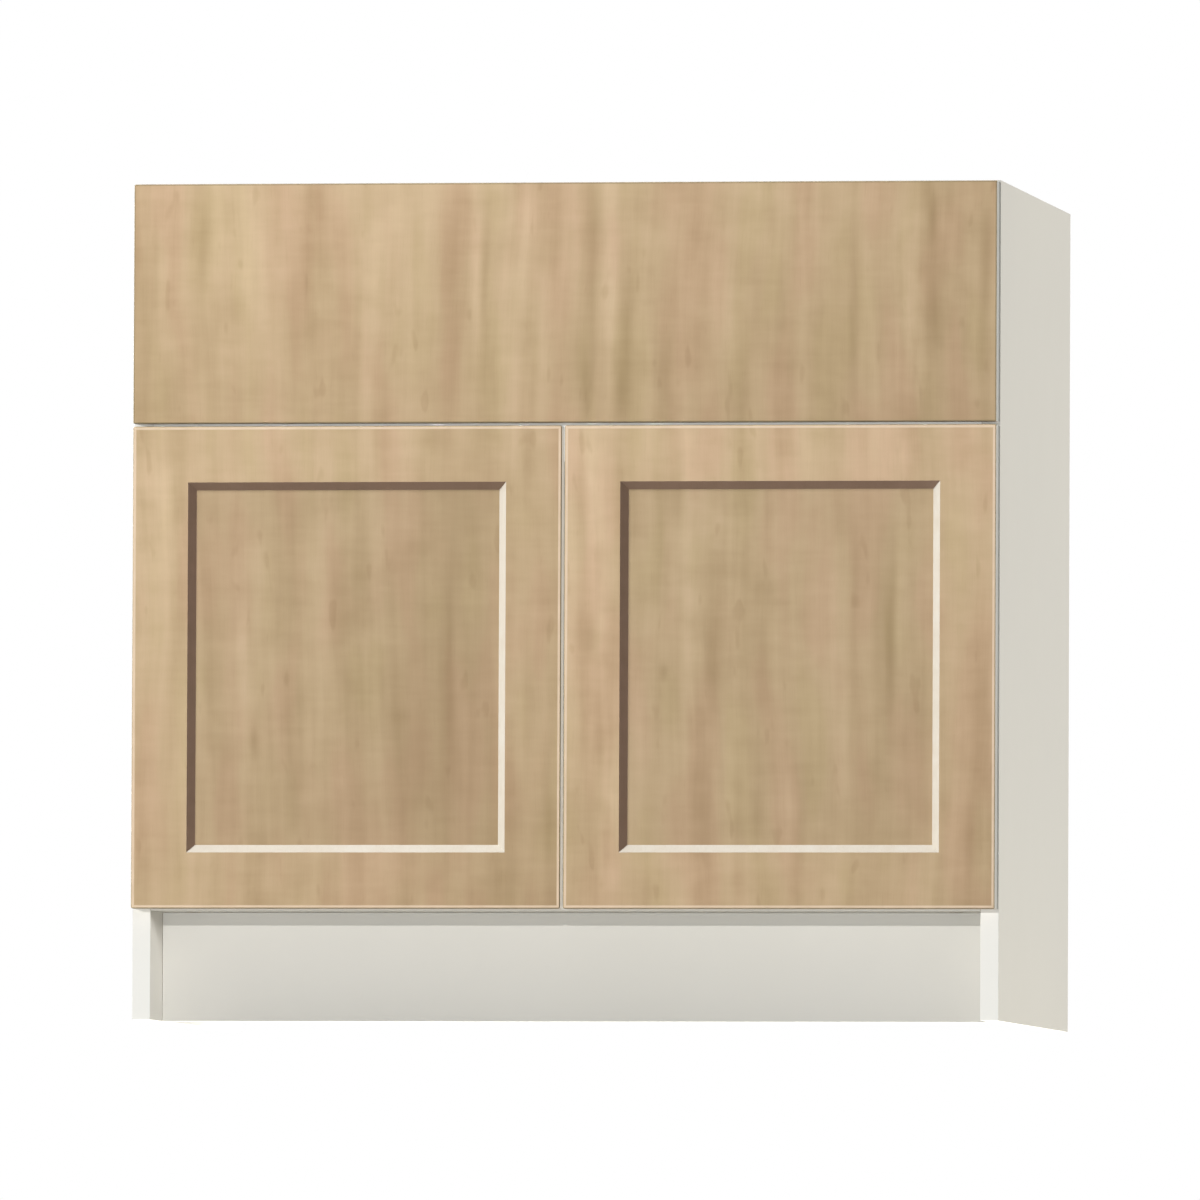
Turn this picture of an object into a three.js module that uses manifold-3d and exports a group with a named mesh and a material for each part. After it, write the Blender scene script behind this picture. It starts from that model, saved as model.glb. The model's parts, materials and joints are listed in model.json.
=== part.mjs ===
// Sink base cabinet, frameless, full overlay: 36 in wide, 34 1/2 in high, 24 in deep over the doors.
// Millimetres, +Z up, +X to the viewer's right, the fronts face -Y.
// The origin is on the floor, in the middle of the footprint.

import * as THREE from 'three';
import { mergeVertices } from 'three/addons/utils/BufferGeometryUtils.js';
import Module from 'manifold-3d';

const wasm = await Module();
wasm.setup();

// ---------------------------------------------------------------- driving dimensions

const WIDTH = 914.4;             // 36 in
const HEIGHT = 876.3;            // 34 1/2 in, the worktop goes on top
const DEPTH = 609.6;             // 24 in, fronts included
const BOARD = 19.05;             // carcass board and fronts
const TOE_HEIGHT = 114.3;        // floor to the underside of the bottom panel
const TOE_RECESS = 76.2;         // front edge of the sides to the toe-kick board
const TOE_BOARD = 15.9;
const STANDOFF = 2.0;            // fronts to carcass, the thickness of the bumpers and spacers
const FIT = 0.2;                 // clearance of each panel between the sides

const BACK_THICK = 6.35;
const BACK_Y = 279.4;            // front face of the back panel
const GROOVE_DEPTH = 8.0;
const RAIL_HEIGHT = 101.6;
const MID_RAIL_Z = [584.2, 660.4];

const REVEAL = 1.5875;           // 1/16 in at the outer edges and at each side of a gap
const DOOR_Z = [115.8875, 620.7125];
const FALSE_FRONT_Z = [623.8875, 874.7125];
const STILE = 58.74;             // width of the flat frame round the recessed panel
const RECESS_BEVEL = 7.94;       // width of the sloped wall of the recess
const RECESS_DEPTH = 7.5;
const EASED_EDGE = 2.0;          // front edges of the doors
const SLAB_EDGE = 0.8;           // front edges of the false front

const HINGE_Z = [210.9, 525.7];  // hinge centres above the floor

// The doors open to 105 degrees, where the edge of the door comes up to the carcass.
// Hinge, in plan. u runs inward from the outer face of the side panel, v forward from the back face
// of the door, w up from the hinge centre.
const PIVOT_A = [35.736, -7.994];   // outer link on the arm
const PIVOT_B = [37.958, -2.836];   // inner link on the arm
const PIVOT_C = [15.347, 3.518];    // outer link in the cup
const PIVOT_D = [17.470, 3.350];    // inner link in the cup
const CUP_U = 24.1;                 // cup centre, 22.5 mm in from the door edge
const CUP_R = 17.4;
const CUP_DEPTH = 12.3;
const CUP_FLOOR = 11.3;
const CUP_POCKET = [15.2, 7.6];     // half length and half width of the pocket in the cup
const FLANGE = 0.8;
const PIN_R = 0.95;
const LINK_W = [0.3, 6.3];          // the two links lie one above the other in the pocket
const CHEEK_W = [7.0, 8.2];
const PLATE_V = -39.0;              // plate centre, 37 mm behind the front edge of the side
const PLATE_HOLE_W = 16.0;          // half of the 32 mm hole spacing

const CAM_R = 7.35;
const CAM_INSET = 34.0;             // cam centre to the end of the rail

// ---------------------------------------------------------------- derived

const FRONT_Y = -DEPTH / 2;
const FRONT_BACK_Y = FRONT_Y + BOARD;         // back face of the doors and the false front
const CARCASS_Y = FRONT_BACK_Y + STANDOFF;    // front edges of the carcass
const REAR_Y = DEPTH / 2;
const SIDE_X = WIDTH / 2;
const INNER_X = SIDE_X - BOARD;

// ---------------------------------------------------------------- helpers

function solid(geometry) {
  const g = geometry.index ? geometry.toNonIndexed() : geometry.clone();
  for (const name of Object.keys(g.attributes)) if (name !== 'position') g.deleteAttribute(name);
  const m = mergeVertices(g, 1e-4);
  const mesh = new wasm.Mesh({
    numProp: 3,
    vertProperties: new Float32Array(m.attributes.position.array),
    triVerts: new Uint32Array(m.index.array),
  });
  return new wasm.Manifold(mesh);
}

function geometryOf(body) {
  const mesh = body.getMesh();
  const g = new THREE.BufferGeometry();
  g.setAttribute('position', new THREE.BufferAttribute(new Float32Array(mesh.vertProperties), 3));
  g.setIndex(new THREE.BufferAttribute(new Uint32Array(mesh.triVerts), 1));
  g.computeVertexNormals();
  return g;
}

function join(list) {
  return list.reduce((a, b) => a.add(b));
}

function cut(body, list) {
  return list.reduce((a, b) => a.subtract(b), body);
}

function box(x0, x1, y0, y1, z0, z1) {
  const g = new THREE.BoxGeometry(x1 - x0, y1 - y0, z1 - z0);
  g.translate((x0 + x1) / 2, (y0 + y1) / 2, (z0 + z1) / 2);
  return solid(g);
}

function shapeOf(points, holes = []) {
  const s = new THREE.Shape(points.map(([a, b]) => new THREE.Vector2(a, b)));
  for (const h of holes) s.holes.push(new THREE.Path(h.map(([a, b]) => new THREE.Vector2(a, b))));
  return s;
}

// a shape in X, Y raised along Z
function prismZ(points, z0, z1) {
  const g = new THREE.ExtrudeGeometry(shapeOf(points), { depth: z1 - z0, bevelEnabled: false });
  g.translate(0, 0, z0);
  return solid(g);
}

// a shape in X, Z run along Y
function prismY(points, y0, y1) {
  const g = new THREE.ExtrudeGeometry(shapeOf(points), { depth: y1 - y0, bevelEnabled: false });
  g.rotateX(Math.PI / 2);
  g.translate(0, y1, 0);
  return solid(g);
}

// a shape in Y, Z run along X
function prismX(points, x0, x1) {
  const g = new THREE.ExtrudeGeometry(shapeOf(points), { depth: x1 - x0, bevelEnabled: false });
  g.applyMatrix4(new THREE.Matrix4().makeBasis(
    new THREE.Vector3(0, 1, 0), new THREE.Vector3(0, 0, 1), new THREE.Vector3(1, 0, 0)));
  g.translate(x0, 0, 0);
  return solid(g);
}

// a round bar along 'x', 'y' or 'z'; a and b are its centre in the other two axes, in their order
function bar(axis, a, b, c0, c1, r, segments = 16, r2 = r) {
  const g = new THREE.CylinderGeometry(r2, r, c1 - c0, segments);
  const mid = (c0 + c1) / 2;
  if (axis === 'x') { g.rotateZ(-Math.PI / 2); g.translate(mid, a, b); }
  if (axis === 'y') g.translate(a, mid, b);
  if (axis === 'z') { g.rotateX(Math.PI / 2); g.translate(a, b, mid); }
  return solid(g);
}

function discPoints([a, b], r, n = 12) {
  return Array.from({ length: n }, (_, i) => {
    const t = (i / n) * Math.PI * 2;
    return [a + r * Math.cos(t), b + r * Math.sin(t)];
  });
}

function hull(points) {
  const p = [...points].sort((m, n) => m[0] - n[0] || m[1] - n[1]);
  const cross = (o, a, b) => (a[0] - o[0]) * (b[1] - o[1]) - (a[1] - o[1]) * (b[0] - o[0]);
  const half = (list) => {
    const out = [];
    for (const q of list) {
      while (out.length > 1 && cross(out[out.length - 2], out[out.length - 1], q) <= 1e-9) out.pop();
      out.push(q);
    }
    out.pop();
    return out;
  };
  return [...half(p), ...half([...p].reverse())];
}

function roundedRect(a0, a1, b0, b1, r, n = 2) {
  const out = [];
  for (const [ca, cb, t0] of [[a1 - r, b1 - r, 0], [a0 + r, b1 - r, 1], [a0 + r, b0 + r, 2], [a1 - r, b0 + r, 3]]) {
    for (let i = 0; i <= n; i++) {
      const t = (t0 + i / n) * Math.PI / 2;
      out.push([ca + r * Math.cos(t), cb + r * Math.sin(t)]);
    }
  }
  return out;
}

const finish = {
  white: new THREE.MeshStandardMaterial({ color: 0xe4e2dc, roughness: 0.55, metalness: 0 }),
  back: new THREE.MeshStandardMaterial({ color: 0xdedbd3, roughness: 0.6, metalness: 0 }),
  oak: new THREE.MeshStandardMaterial({ color: 0xc4ab88, roughness: 0.6, metalness: 0 }),
  nickel: new THREE.MeshStandardMaterial({ color: 0xb9b9b6, roughness: 0.3, metalness: 1 }),
  zinc: new THREE.MeshStandardMaterial({ color: 0x9fa0a0, roughness: 0.45, metalness: 1 }),
  plastic: new THREE.MeshStandardMaterial({ color: 0xe9e8e4, roughness: 0.5, metalness: 0 }),
  bumper: new THREE.MeshStandardMaterial({ color: 0xd8dadb, roughness: 0.35, metalness: 0 }),
};

const cabinet = new THREE.Group();

function place(parent, name, body, material, x = 0, y = 0, z = 0) {
  const mesh = new THREE.Mesh(geometryOf(body), material);
  mesh.name = name;
  mesh.position.set(x, y, z);
  parent.add(mesh);
  return mesh;
}

// ---------------------------------------------------------------- carcass

const carcass = new THREE.Group();
cabinet.add(carcass);

const camPlaces = [];   // [x side, y, z, axis of the cam, face coordinate, direction into the board]
for (const s of [-1, 1]) {
  camPlaces.push({ name: 'bottom_front', s, y: -215, z: TOE_HEIGHT + 9.5, axis: 'z', face: TOE_HEIGHT, dir: 1 });
  camPlaces.push({ name: 'bottom_rear', s, y: 205, z: TOE_HEIGHT + 9.5, axis: 'z', face: TOE_HEIGHT, dir: 1 });
  camPlaces.push({ name: 'front_top_rail', s, y: CARCASS_Y + 9.5, z: 838, axis: 'y', face: CARCASS_Y + BOARD, dir: -1 });
  camPlaces.push({ name: 'mid_rail', s, y: CARCASS_Y + 9.5, z: 622.3, axis: 'y', face: CARCASS_Y + BOARD, dir: -1 });
  camPlaces.push({ name: 'rear_top_rail', s, y: REAR_Y - 9.5, z: 825.5, axis: 'y', face: REAR_Y, dir: -1 });
  camPlaces.push({ name: 'rear_bottom_rail', s, y: REAR_Y - 9.5, z: 165.1, axis: 'y', face: REAR_Y, dir: -1 });
}
const CAM_X = INNER_X - FIT - CAM_INSET;
const CAM_BORE_DEPTH = 12.6;
const CAM_THICK = 12.2;

// bore for one cam and its bolt in a rail or the bottom panel
function camBore({ s, y, z, axis, face, dir }) {
  const c = [face + dir * CAM_BORE_DEPTH, face - dir * 1].sort((a, b) => a - b);
  const pocket = axis === 'z'
    ? bar('z', s * CAM_X, y, c[0], c[1], CAM_R + 0.25)
    : bar('y', s * CAM_X, z, c[0], c[1], CAM_R + 0.25);
  const x = [s * CAM_X, s * (INNER_X + 1)].sort((a, b) => a - b);
  return pocket.add(bar('x', y, z, x[0], x[1], 3.5, 8));
}

for (const [side, s] of [['left', -1], ['right', 1]]) {
  const x = [s * SIDE_X, s * INNER_X].sort((a, b) => a - b);
  const cuts = [];
  // groove for the back panel
  const g = [s * INNER_X + s * GROOVE_DEPTH, s * (INNER_X - 1)].sort((a, b) => a - b);
  cuts.push(box(g[0], g[1], BACK_Y - 0.3, BACK_Y + BACK_THICK + 0.3, TOE_HEIGHT - 0.2, HEIGHT + 1));
  // bores for the cam bolts
  for (const c of camPlaces.filter((p) => p.s === s)) {
    const b = [s * (INNER_X - 1), s * (INNER_X + 11)].sort((a, q) => a - q);
    cuts.push(bar('x', c.y, c.z, b[0], b[1], 2.8, 8));
  }
  // bores for the hinge plate screws
  for (const hz of HINGE_Z) {
    for (const w of [-PLATE_HOLE_W, PLATE_HOLE_W]) {
      const b = [s * (INNER_X - 1), s * (INNER_X + 12)].sort((a, q) => a - q);
      cuts.push(bar('x', FRONT_BACK_Y - PLATE_V, hz + w, b[0], b[1], 2.7, 8));
    }
  }
  place(carcass, `${side}_side_panel`,
    cut(box(x[0], x[1], CARCASS_Y, REAR_Y, 0, HEIGHT), cuts), finish.white);
}

const railX = INNER_X - FIT;
function rail(name, y0, y1, z0, z1, holes = []) {
  const bores = camPlaces.filter((p) => p.name.startsWith(name)).map(camBore);
  return cut(box(-railX, railX, y0, y1, z0, z1), [...bores, ...holes]);
}

place(carcass, 'bottom_panel',
  rail('bottom_', CARCASS_Y, BACK_Y - FIT, TOE_HEIGHT, TOE_HEIGHT + BOARD), finish.white);

// screws that hold the false front, two through each rail behind it
const FRONT_SCREW = [[-300, 804], [300, 804], [-300, 642], [300, 642]];
const screwHole = ([x, z]) => bar('y', x, z, CARCASS_Y - 1, CARCASS_Y + BOARD + 1, 2.5, 8);

place(carcass, 'front_top_rail',
  rail('front_top_rail', CARCASS_Y, CARCASS_Y + BOARD, HEIGHT - RAIL_HEIGHT, HEIGHT,
    FRONT_SCREW.slice(0, 2).map(screwHole)), finish.white);
place(carcass, 'mid_rail',
  rail('mid_rail', CARCASS_Y, CARCASS_Y + BOARD, MID_RAIL_Z[0], MID_RAIL_Z[1],
    FRONT_SCREW.slice(2).map(screwHole)), finish.white);

const REAR_RAIL_Y = BACK_Y + BACK_THICK + FIT;
place(carcass, 'rear_top_rail',
  rail('rear_top_rail', REAR_RAIL_Y, REAR_Y, HEIGHT - RAIL_HEIGHT, HEIGHT), finish.white);
place(carcass, 'rear_bottom_rail',
  rail('rear_bottom_rail', REAR_RAIL_Y, REAR_Y, TOE_HEIGHT, TOE_HEIGHT + RAIL_HEIGHT), finish.white);

const backX = INNER_X + GROOVE_DEPTH - 0.3;
place(carcass, 'back_panel',
  box(-backX, backX, BACK_Y, BACK_Y + BACK_THICK, TOE_HEIGHT, HEIGHT), finish.back);

const toeY = CARCASS_Y + TOE_RECESS;
place(carcass, 'toe_kick_board',
  box(-railX, railX, toeY, toeY + TOE_BOARD, 0, TOE_HEIGHT - FIT), finish.white);

// cam and bolt: a slotted round cam with the neck and thread of its bolt
function camFitting(axis, dir, s) {
  const t0 = dir > 0 ? 0.2 : -0.2 - CAM_THICK;
  const t1 = t0 + CAM_THICK;
  const body = axis === 'z' ? bar('z', 0, 0, t0, t1, CAM_R) : bar('y', 0, 0, t0, t1, CAM_R);
  const face = dir > 0 ? t0 : t1;
  const slotA = [face - dir * 1, face + dir * 2.6].sort((a, b) => a - b);
  const slots = axis === 'z'
    ? [box(-4.6, 4.6, -0.8, 0.8, slotA[0], slotA[1])]
    : [box(-4.6, 4.6, slotA[0], slotA[1], -0.8, 0.8)];
  const boltOffset = 9.5 * dir;
  const neck = [s * 4, s * (CAM_INSET - 0.4)].sort((a, b) => a - b);
  const thread = [s * (CAM_INSET - 1), s * (CAM_INSET + FIT + 10)].sort((a, b) => a - b);
  const at = axis === 'z' ? [0, boltOffset] : [boltOffset, 0];
  return cut(join([body, bar('x', at[0], at[1], neck[0], neck[1], 3.1, 8),
    bar('x', at[0], at[1], thread[0], thread[1], 2.3, 8)]), slots);
}
for (const c of camPlaces) {
  const name = `${c.s < 0 ? 'left' : 'right'}_${c.name}_cam`;
  const y = c.axis === 'y' ? c.face : c.y;
  const z = c.axis === 'z' ? c.face : c.z;
  place(carcass, name, camFitting(c.axis, c.dir, c.s), finish.zinc, c.s * CAM_X, y, z);
}

// moulded corner braces at the top, each with a hole for a worktop screw
const BRACE = 72;
const BRACE_DROP = 26;
const BRACE_WALL = 3;
function cornerBrace(sx, sy) {
  const q = (a, b) => [sx * a, sy * b];
  const plate = prismZ([q(0.2, 0.2), q(BRACE, 0.2), q(BRACE, 7), q(7, BRACE), q(0.2, BRACE)], -BRACE_WALL, 0);
  const wallA = prismZ([q(0.2, 0.2), q(BRACE, 0.2), q(BRACE, 0.2 + BRACE_WALL), q(0.2, 0.2 + BRACE_WALL)], -BRACE_DROP, -BRACE_WALL + 0.5);
  const wallB = prismZ([q(0.2, 0.2), q(0.2 + BRACE_WALL, 0.2), q(0.2 + BRACE_WALL, BRACE), q(0.2, BRACE)], -BRACE_DROP, -BRACE_WALL + 0.5);
  const d = 1.3;
  const rib = prismZ([q(2 - d, 2 + d), q(2 + d, 2 - d), q(37 + d, 37 - d), q(37 - d, 37 + d)], -14, -BRACE_WALL + 0.5);
  const boss = bar('z', sx * 27, sy * 27, -14, -BRACE_WALL + 0.5, 6.5, 12);
  return cut(join([plate, wallA, wallB, rib, boss]), [bar('z', sx * 27, sy * 27, -15, 1, 2.6, 8)]);
}
for (const [nx, sx] of [['left', 1], ['right', -1]]) {
  for (const [ny, sy, y] of [['front', 1, CARCASS_Y + BOARD], ['rear', -1, BACK_Y]]) {
    place(carcass, `${nx}_${ny}_corner_brace`, cornerBrace(sx, sy), finish.plastic, -sx * INNER_X, y, HEIGHT);
  }
}

// ---------------------------------------------------------------- fronts

// a board with its four front edges eased by a chamfer
function frontBoard(x0, x1, z0, z1, ease) {
  const k = 3;
  const cuts = [];
  // along X: the lower and upper edges
  for (const [z, d] of [[z0, 1], [z1, -1]]) {
    cuts.push(prismX([[FRONT_Y - k, z + d * (ease + k)], [FRONT_Y - k, z - d * k], [FRONT_Y + ease + k, z - d * k]], x0 - 1, x1 + 1));
  }
  // along Z: the left and right edges
  for (const [x, d] of [[x0, 1], [x1, -1]]) {
    cuts.push(prismZ([[x + d * (ease + k), FRONT_Y - k], [x - d * k, FRONT_Y - k], [x - d * k, FRONT_Y + ease + k]], z0 - 1, z1 + 1));
  }
  return cut(box(x0, x1, FRONT_Y, FRONT_BACK_Y, z0, z1), cuts);
}

const fronts = new THREE.Group();
cabinet.add(fronts);

const ffX = SIDE_X - REVEAL;
place(fronts, 'false_front', cut(
  frontBoard(-ffX, ffX, FALSE_FRONT_Z[0], FALSE_FRONT_Z[1], SLAB_EDGE),
  FRONT_SCREW.map(([x, z]) => bar('y', x, z, FRONT_BACK_Y - 12.5, FRONT_BACK_Y + 1, 2.3, 8))), finish.oak);

// pan-head screw from inside the cabinet, through the rail and the spacer into the false front
function frontScrew() {
  const head = bar('y', 0, 0, 0.2, 2.6, 4.4, 14, 2.6);
  const shank = bar('y', 0, 0, -BOARD - STANDOFF - 11.5, 0.6, 1.9, 8);
  return cut(join([head, shank]), [box(-2.2, 2.2, 1.2, 3, -0.45, 0.45)]);
}
function spacer() {
  return bar('y', 0, 0, -STANDOFF + 0.2, -0.2, 7.5, 16).subtract(bar('y', 0, 0, -3, 1, 2.4, 8));
}
FRONT_SCREW.forEach(([x, z], i) => {
  const name = `${x < 0 ? 'left' : 'right'}_${i < 2 ? 'upper' : 'lower'}`;
  place(fronts, `${name}_false_front_screw`, frontScrew(), finish.zinc, x, CARCASS_Y + BOARD, z);
  place(fronts, `${name}_false_front_spacer`, spacer(), finish.plastic, x, CARCASS_Y, z);
});

function door(s) {
  const outer = s * (SIDE_X - REVEAL);
  const inner = s * REVEAL;
  const [x0, x1] = [outer, inner].sort((a, b) => a - b);
  const [z0, z1] = DOOR_Z;
  const cuts = [];
  // recess: its sloped walls run from the frame down to the flat panel
  const i = STILE + RECESS_BEVEL;
  const floor = shapeOf([[x0 + i, z0 + i], [x1 - i, z0 + i], [x1 - i, z1 - i], [x0 + i, z1 - i]]);
  const g = new THREE.ExtrudeGeometry(floor, {
    depth: 4, bevelEnabled: true, bevelSegments: 1, bevelSize: RECESS_BEVEL, bevelThickness: RECESS_DEPTH,
  });
  g.rotateX(Math.PI / 2);
  g.translate(0, FRONT_Y, 0);
  cuts.push(solid(g));
  // bores for the hinge cups
  for (const hz of HINGE_Z) {
    cuts.push(bar('y', s * (SIDE_X - CUP_U), hz, FRONT_BACK_Y - CUP_DEPTH - 0.3, FRONT_BACK_Y + 1, CUP_R + 0.4, 32));
  }
  return cut(frontBoard(x0, x1, z0, z1, EASED_EDGE), cuts);
}

function bumper() {
  const profile = [[0, 0.1], [4.2, 0.1], [4.0, 0.8], [2.8, 1.5], [0, 1.7]].map(([r, h]) => new THREE.Vector2(r, h));
  return solid(new THREE.LatheGeometry(profile, 12));
}

// ---------------------------------------------------------------- concealed hinges

// Plan points of the hinge in local X, Y. h is +1 for the left side, -1 for the right.
const at = (h, [u, v]) => [h * u, -v];
const shape = (h, list) => list.map((p) => at(h, p));

function linkPath(h, path, r, w0, w1) {
  const bars = [];
  for (let i = 0; i + 1 < path.length; i++) {
    bars.push(prismZ(hull([...discPoints(at(h, path[i]), r, 8), ...discPoints(at(h, path[i + 1]), r, 8)]), w0, w1));
  }
  return join(bars);
}
function eye(h, p, r, w0, w1, n = 16) {
  return prismZ(discPoints(at(h, p), r, n), w0, w1);
}

function outerLink(h) {
  const [w0, w1] = LINK_W;
  const path = [PIVOT_C, [22.0, 8.45], [31.6, 8.75], PIVOT_A];
  return cut(join([linkPath(h, path, 1.5, w0, w1), eye(h, PIVOT_A, 2.2, w0, w1), eye(h, PIVOT_C, 2.2, w0, w1)]),
    [eye(h, PIVOT_A, PIN_R + 0.2, w0 - 1, w1 + 1, 10), eye(h, PIVOT_C, PIN_R + 0.2, w0 - 1, w1 + 1, 10)]);
}

// the eye at pivot D is oversize: the pin floats in it by the small error of the fixed gearing
function innerLink(h) {
  const [w0, w1] = [-LINK_W[1], -LINK_W[0]];
  const path = [PIVOT_D, [23.6, 8.7], [36.45, 8.85], PIVOT_B];
  return cut(join([linkPath(h, path, 1.35, w0, w1), eye(h, PIVOT_B, 1.95, w0, w1), eye(h, PIVOT_D, 3.6, w0, w1)]),
    [eye(h, PIVOT_B, PIN_R + 0.2, w0 - 1, w1 + 1, 10), eye(h, PIVOT_D, PIN_R + 1.55, w0 - 1, w1 + 1, 14)]);
}

function hingeArm(h) {
  const TOP = 38.9;
  const cheekOutline = (w0, w1) => join([
    prismZ(hull([...discPoints(at(h, PIVOT_B), 1.8), ...discPoints(at(h, PIVOT_A), 2.4)]), w0, w1),
    prismZ(shape(h, [[33.4, -7.6], [37.9, -7.6], [TOP, -12], [TOP, -68], [37, -70], [27, -70], [25, -66], [25, -22], [30.5, -13]]), w0, w1),
  ]);
  const parts = [cheekOutline(CHEEK_W[0], CHEEK_W[1]), cheekOutline(-CHEEK_W[1], -CHEEK_W[0])];
  // web, facing the inside of the cabinet
  parts.push(prismZ(shape(h, [[TOP - 1.2, -12], [TOP, -12], [TOP, -69], [TOP - 1.2, -69]]), -CHEEK_W[1], CHEEK_W[1]));
  // pins: the outer link's in the upper half, the inner link's in the lower half
  parts.push(eye(h, PIVOT_A, PIN_R, LINK_W[0], CHEEK_W[0] + 0.5, 10));
  parts.push(eye(h, PIVOT_B, PIN_R, -CHEEK_W[0] - 0.5, -LINK_W[0], 10));
  // fixing screw and depth screw through the web
  for (const [v, r] of [[-58, 3.6], [-27, 3.2]]) {
    const x = [h * (TOP - 0.4), h * (TOP + 1.3)].sort((a, b) => a - b);
    parts.push(bar('x', -v, 0, x[0], x[1], r, 12));
    const y = [h * 31.5, h * (TOP - 0.4)].sort((a, b) => a - b);
    parts.push(bar('x', -v, 0, y[0], y[1], 2.0, 8));
  }
  const cuts = [];
  for (const [v, l] of [[-58, 2.4], [-27, 2.1]]) {
    const x = [h * (TOP + 0.3), h * (TOP + 3)].sort((a, b) => a - b);
    cuts.push(box(x[0], x[1], -v - l, -v + l, -0.45, 0.45));
  }
  return cut(join(parts), cuts);
}

function mountingPlate(h) {
  const U0 = BOARD + 0.2;
  const xs = (a, b) => [h * a, h * b].sort((m, n) => m - n);
  const parts = [];
  let x = xs(U0, U0 + 2);
  parts.push(prismX(roundedRect(-PLATE_V - 25, -PLATE_V + 24, -9.5, 9.5, 3), x[0], x[1]));
  parts.push(prismX(roundedRect(-PLATE_V - 8, -PLATE_V + 8, -24.5, 24.5, 7.5), x[0], x[1]));
  x = xs(U0 + 1, 37.1);
  parts.push(prismX(roundedRect(-PLATE_V - 21, -PLATE_V + 22, -6.4, 6.4, 2, 2), x[0], x[1]));
  // system screws
  for (const w of [-PLATE_HOLE_W, PLATE_HOLE_W]) {
    x = xs(U0 + 1.5, U0 + 3.8);
    const g = bar('x', -PLATE_V, w, x[0], x[1], h > 0 ? 3.9 : 3.0, 12, h > 0 ? 3.0 : 3.9);
    parts.push(g);
    x = xs(BOARD - 11, U0 + 1);
    parts.push(bar('x', -PLATE_V, w, x[0], x[1], 2.2, 8));
  }
  const cuts = [];
  for (const w of [-PLATE_HOLE_W, PLATE_HOLE_W]) {
    x = xs(U0 + 2.4, U0 + 5);
    cuts.push(box(x[0], x[1], -PLATE_V - 2, -PLATE_V + 2, w - 0.4, w + 0.4));
  }
  // clearance for the two screws of the arm
  for (const v of [-58, -27]) {
    x = xs(30.5, 38);
    cuts.push(bar('x', -v, 0, x[0], x[1], 2.5, 8));
  }
  return cut(join(parts), cuts);
}

function hingeCup(h) {
  const cx = h * CUP_U;
  const parts = [bar('y', cx, 0, -CUP_DEPTH, 0.3, CUP_R, 32)];
  // flange on the back of the door with two screw ears, set towards the middle of the door
  const ears = hull([
    ...discPoints([cx, 0], CUP_R + 1.6, 24),
    ...discPoints([cx + h * 9.5, 22.5], 7.2, 12), ...discPoints([cx + h * 9.5, -22.5], 7.2, 12)]);
  parts.push(prismY(ears, 0.1, FLANGE));
  const parts2 = join(parts);
  const pocket = prismY(roundedRect(cx - CUP_POCKET[0], cx + CUP_POCKET[0], -CUP_POCKET[1], CUP_POCKET[1], 1.5, 2), -CUP_FLOOR, 2);
  const body = parts2.subtract(pocket);
  const pins = [
    eye(h, PIVOT_C, PIN_R, LINK_W[0], CUP_POCKET[1] + 0.6, 10),
    eye(h, PIVOT_D, PIN_R, -CUP_POCKET[1] - 0.6, -LINK_W[0], 10),
  ];
  const heads = [22.5, -22.5].map((w) => bar('y', cx + h * 9.5, w, FLANGE - 0.3, FLANGE + 1.5, 3.9, 12, 2.6));
  const slots = [22.5, -22.5].map((w) =>
    box(cx + h * 9.5 - 2, cx + h * 9.5 + 2, FLANGE + 0.7, FLANGE + 3, w - 0.4, w + 0.4));
  return cut(join([body, ...pins, ...heads]), slots);
}

for (const [side, s] of [['left', -1], ['right', 1]]) {
  const swing = new THREE.Group();
  fronts.add(swing);
  place(swing, `${side}_door`, door(s), finish.oak);
  place(swing, `${side}_upper_door_bumper`, bumper(), finish.bumper, s * 24, FRONT_BACK_Y, 604);
  place(swing, `${side}_lower_door_bumper`, bumper(), finish.bumper, s * 24, FRONT_BACK_Y, 124.8);

  const h = -s;
  for (const [level, hz] of [['lower', HINGE_Z[0]], ['upper', HINGE_Z[1]]]) {
    const hinge = new THREE.Group();
    hinge.position.set(s * SIDE_X, FRONT_BACK_Y, hz);
    fronts.add(hinge);
    const name = `${side}_${level}_hinge`;
    place(hinge, `${name}_cup`, hingeCup(h), finish.nickel);
    place(hinge, `${name}_outer_link`, outerLink(h), finish.nickel);
    place(hinge, `${name}_inner_link`, innerLink(h), finish.nickel);
    place(hinge, `${name}_arm`, hingeArm(h), finish.nickel);
    place(hinge, `${name}_plate`, mountingPlate(h), finish.nickel);
  }
}

export default cabinet;
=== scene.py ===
import json
import math

import bmesh
import bpy
from mathutils import Matrix, Vector

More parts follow.
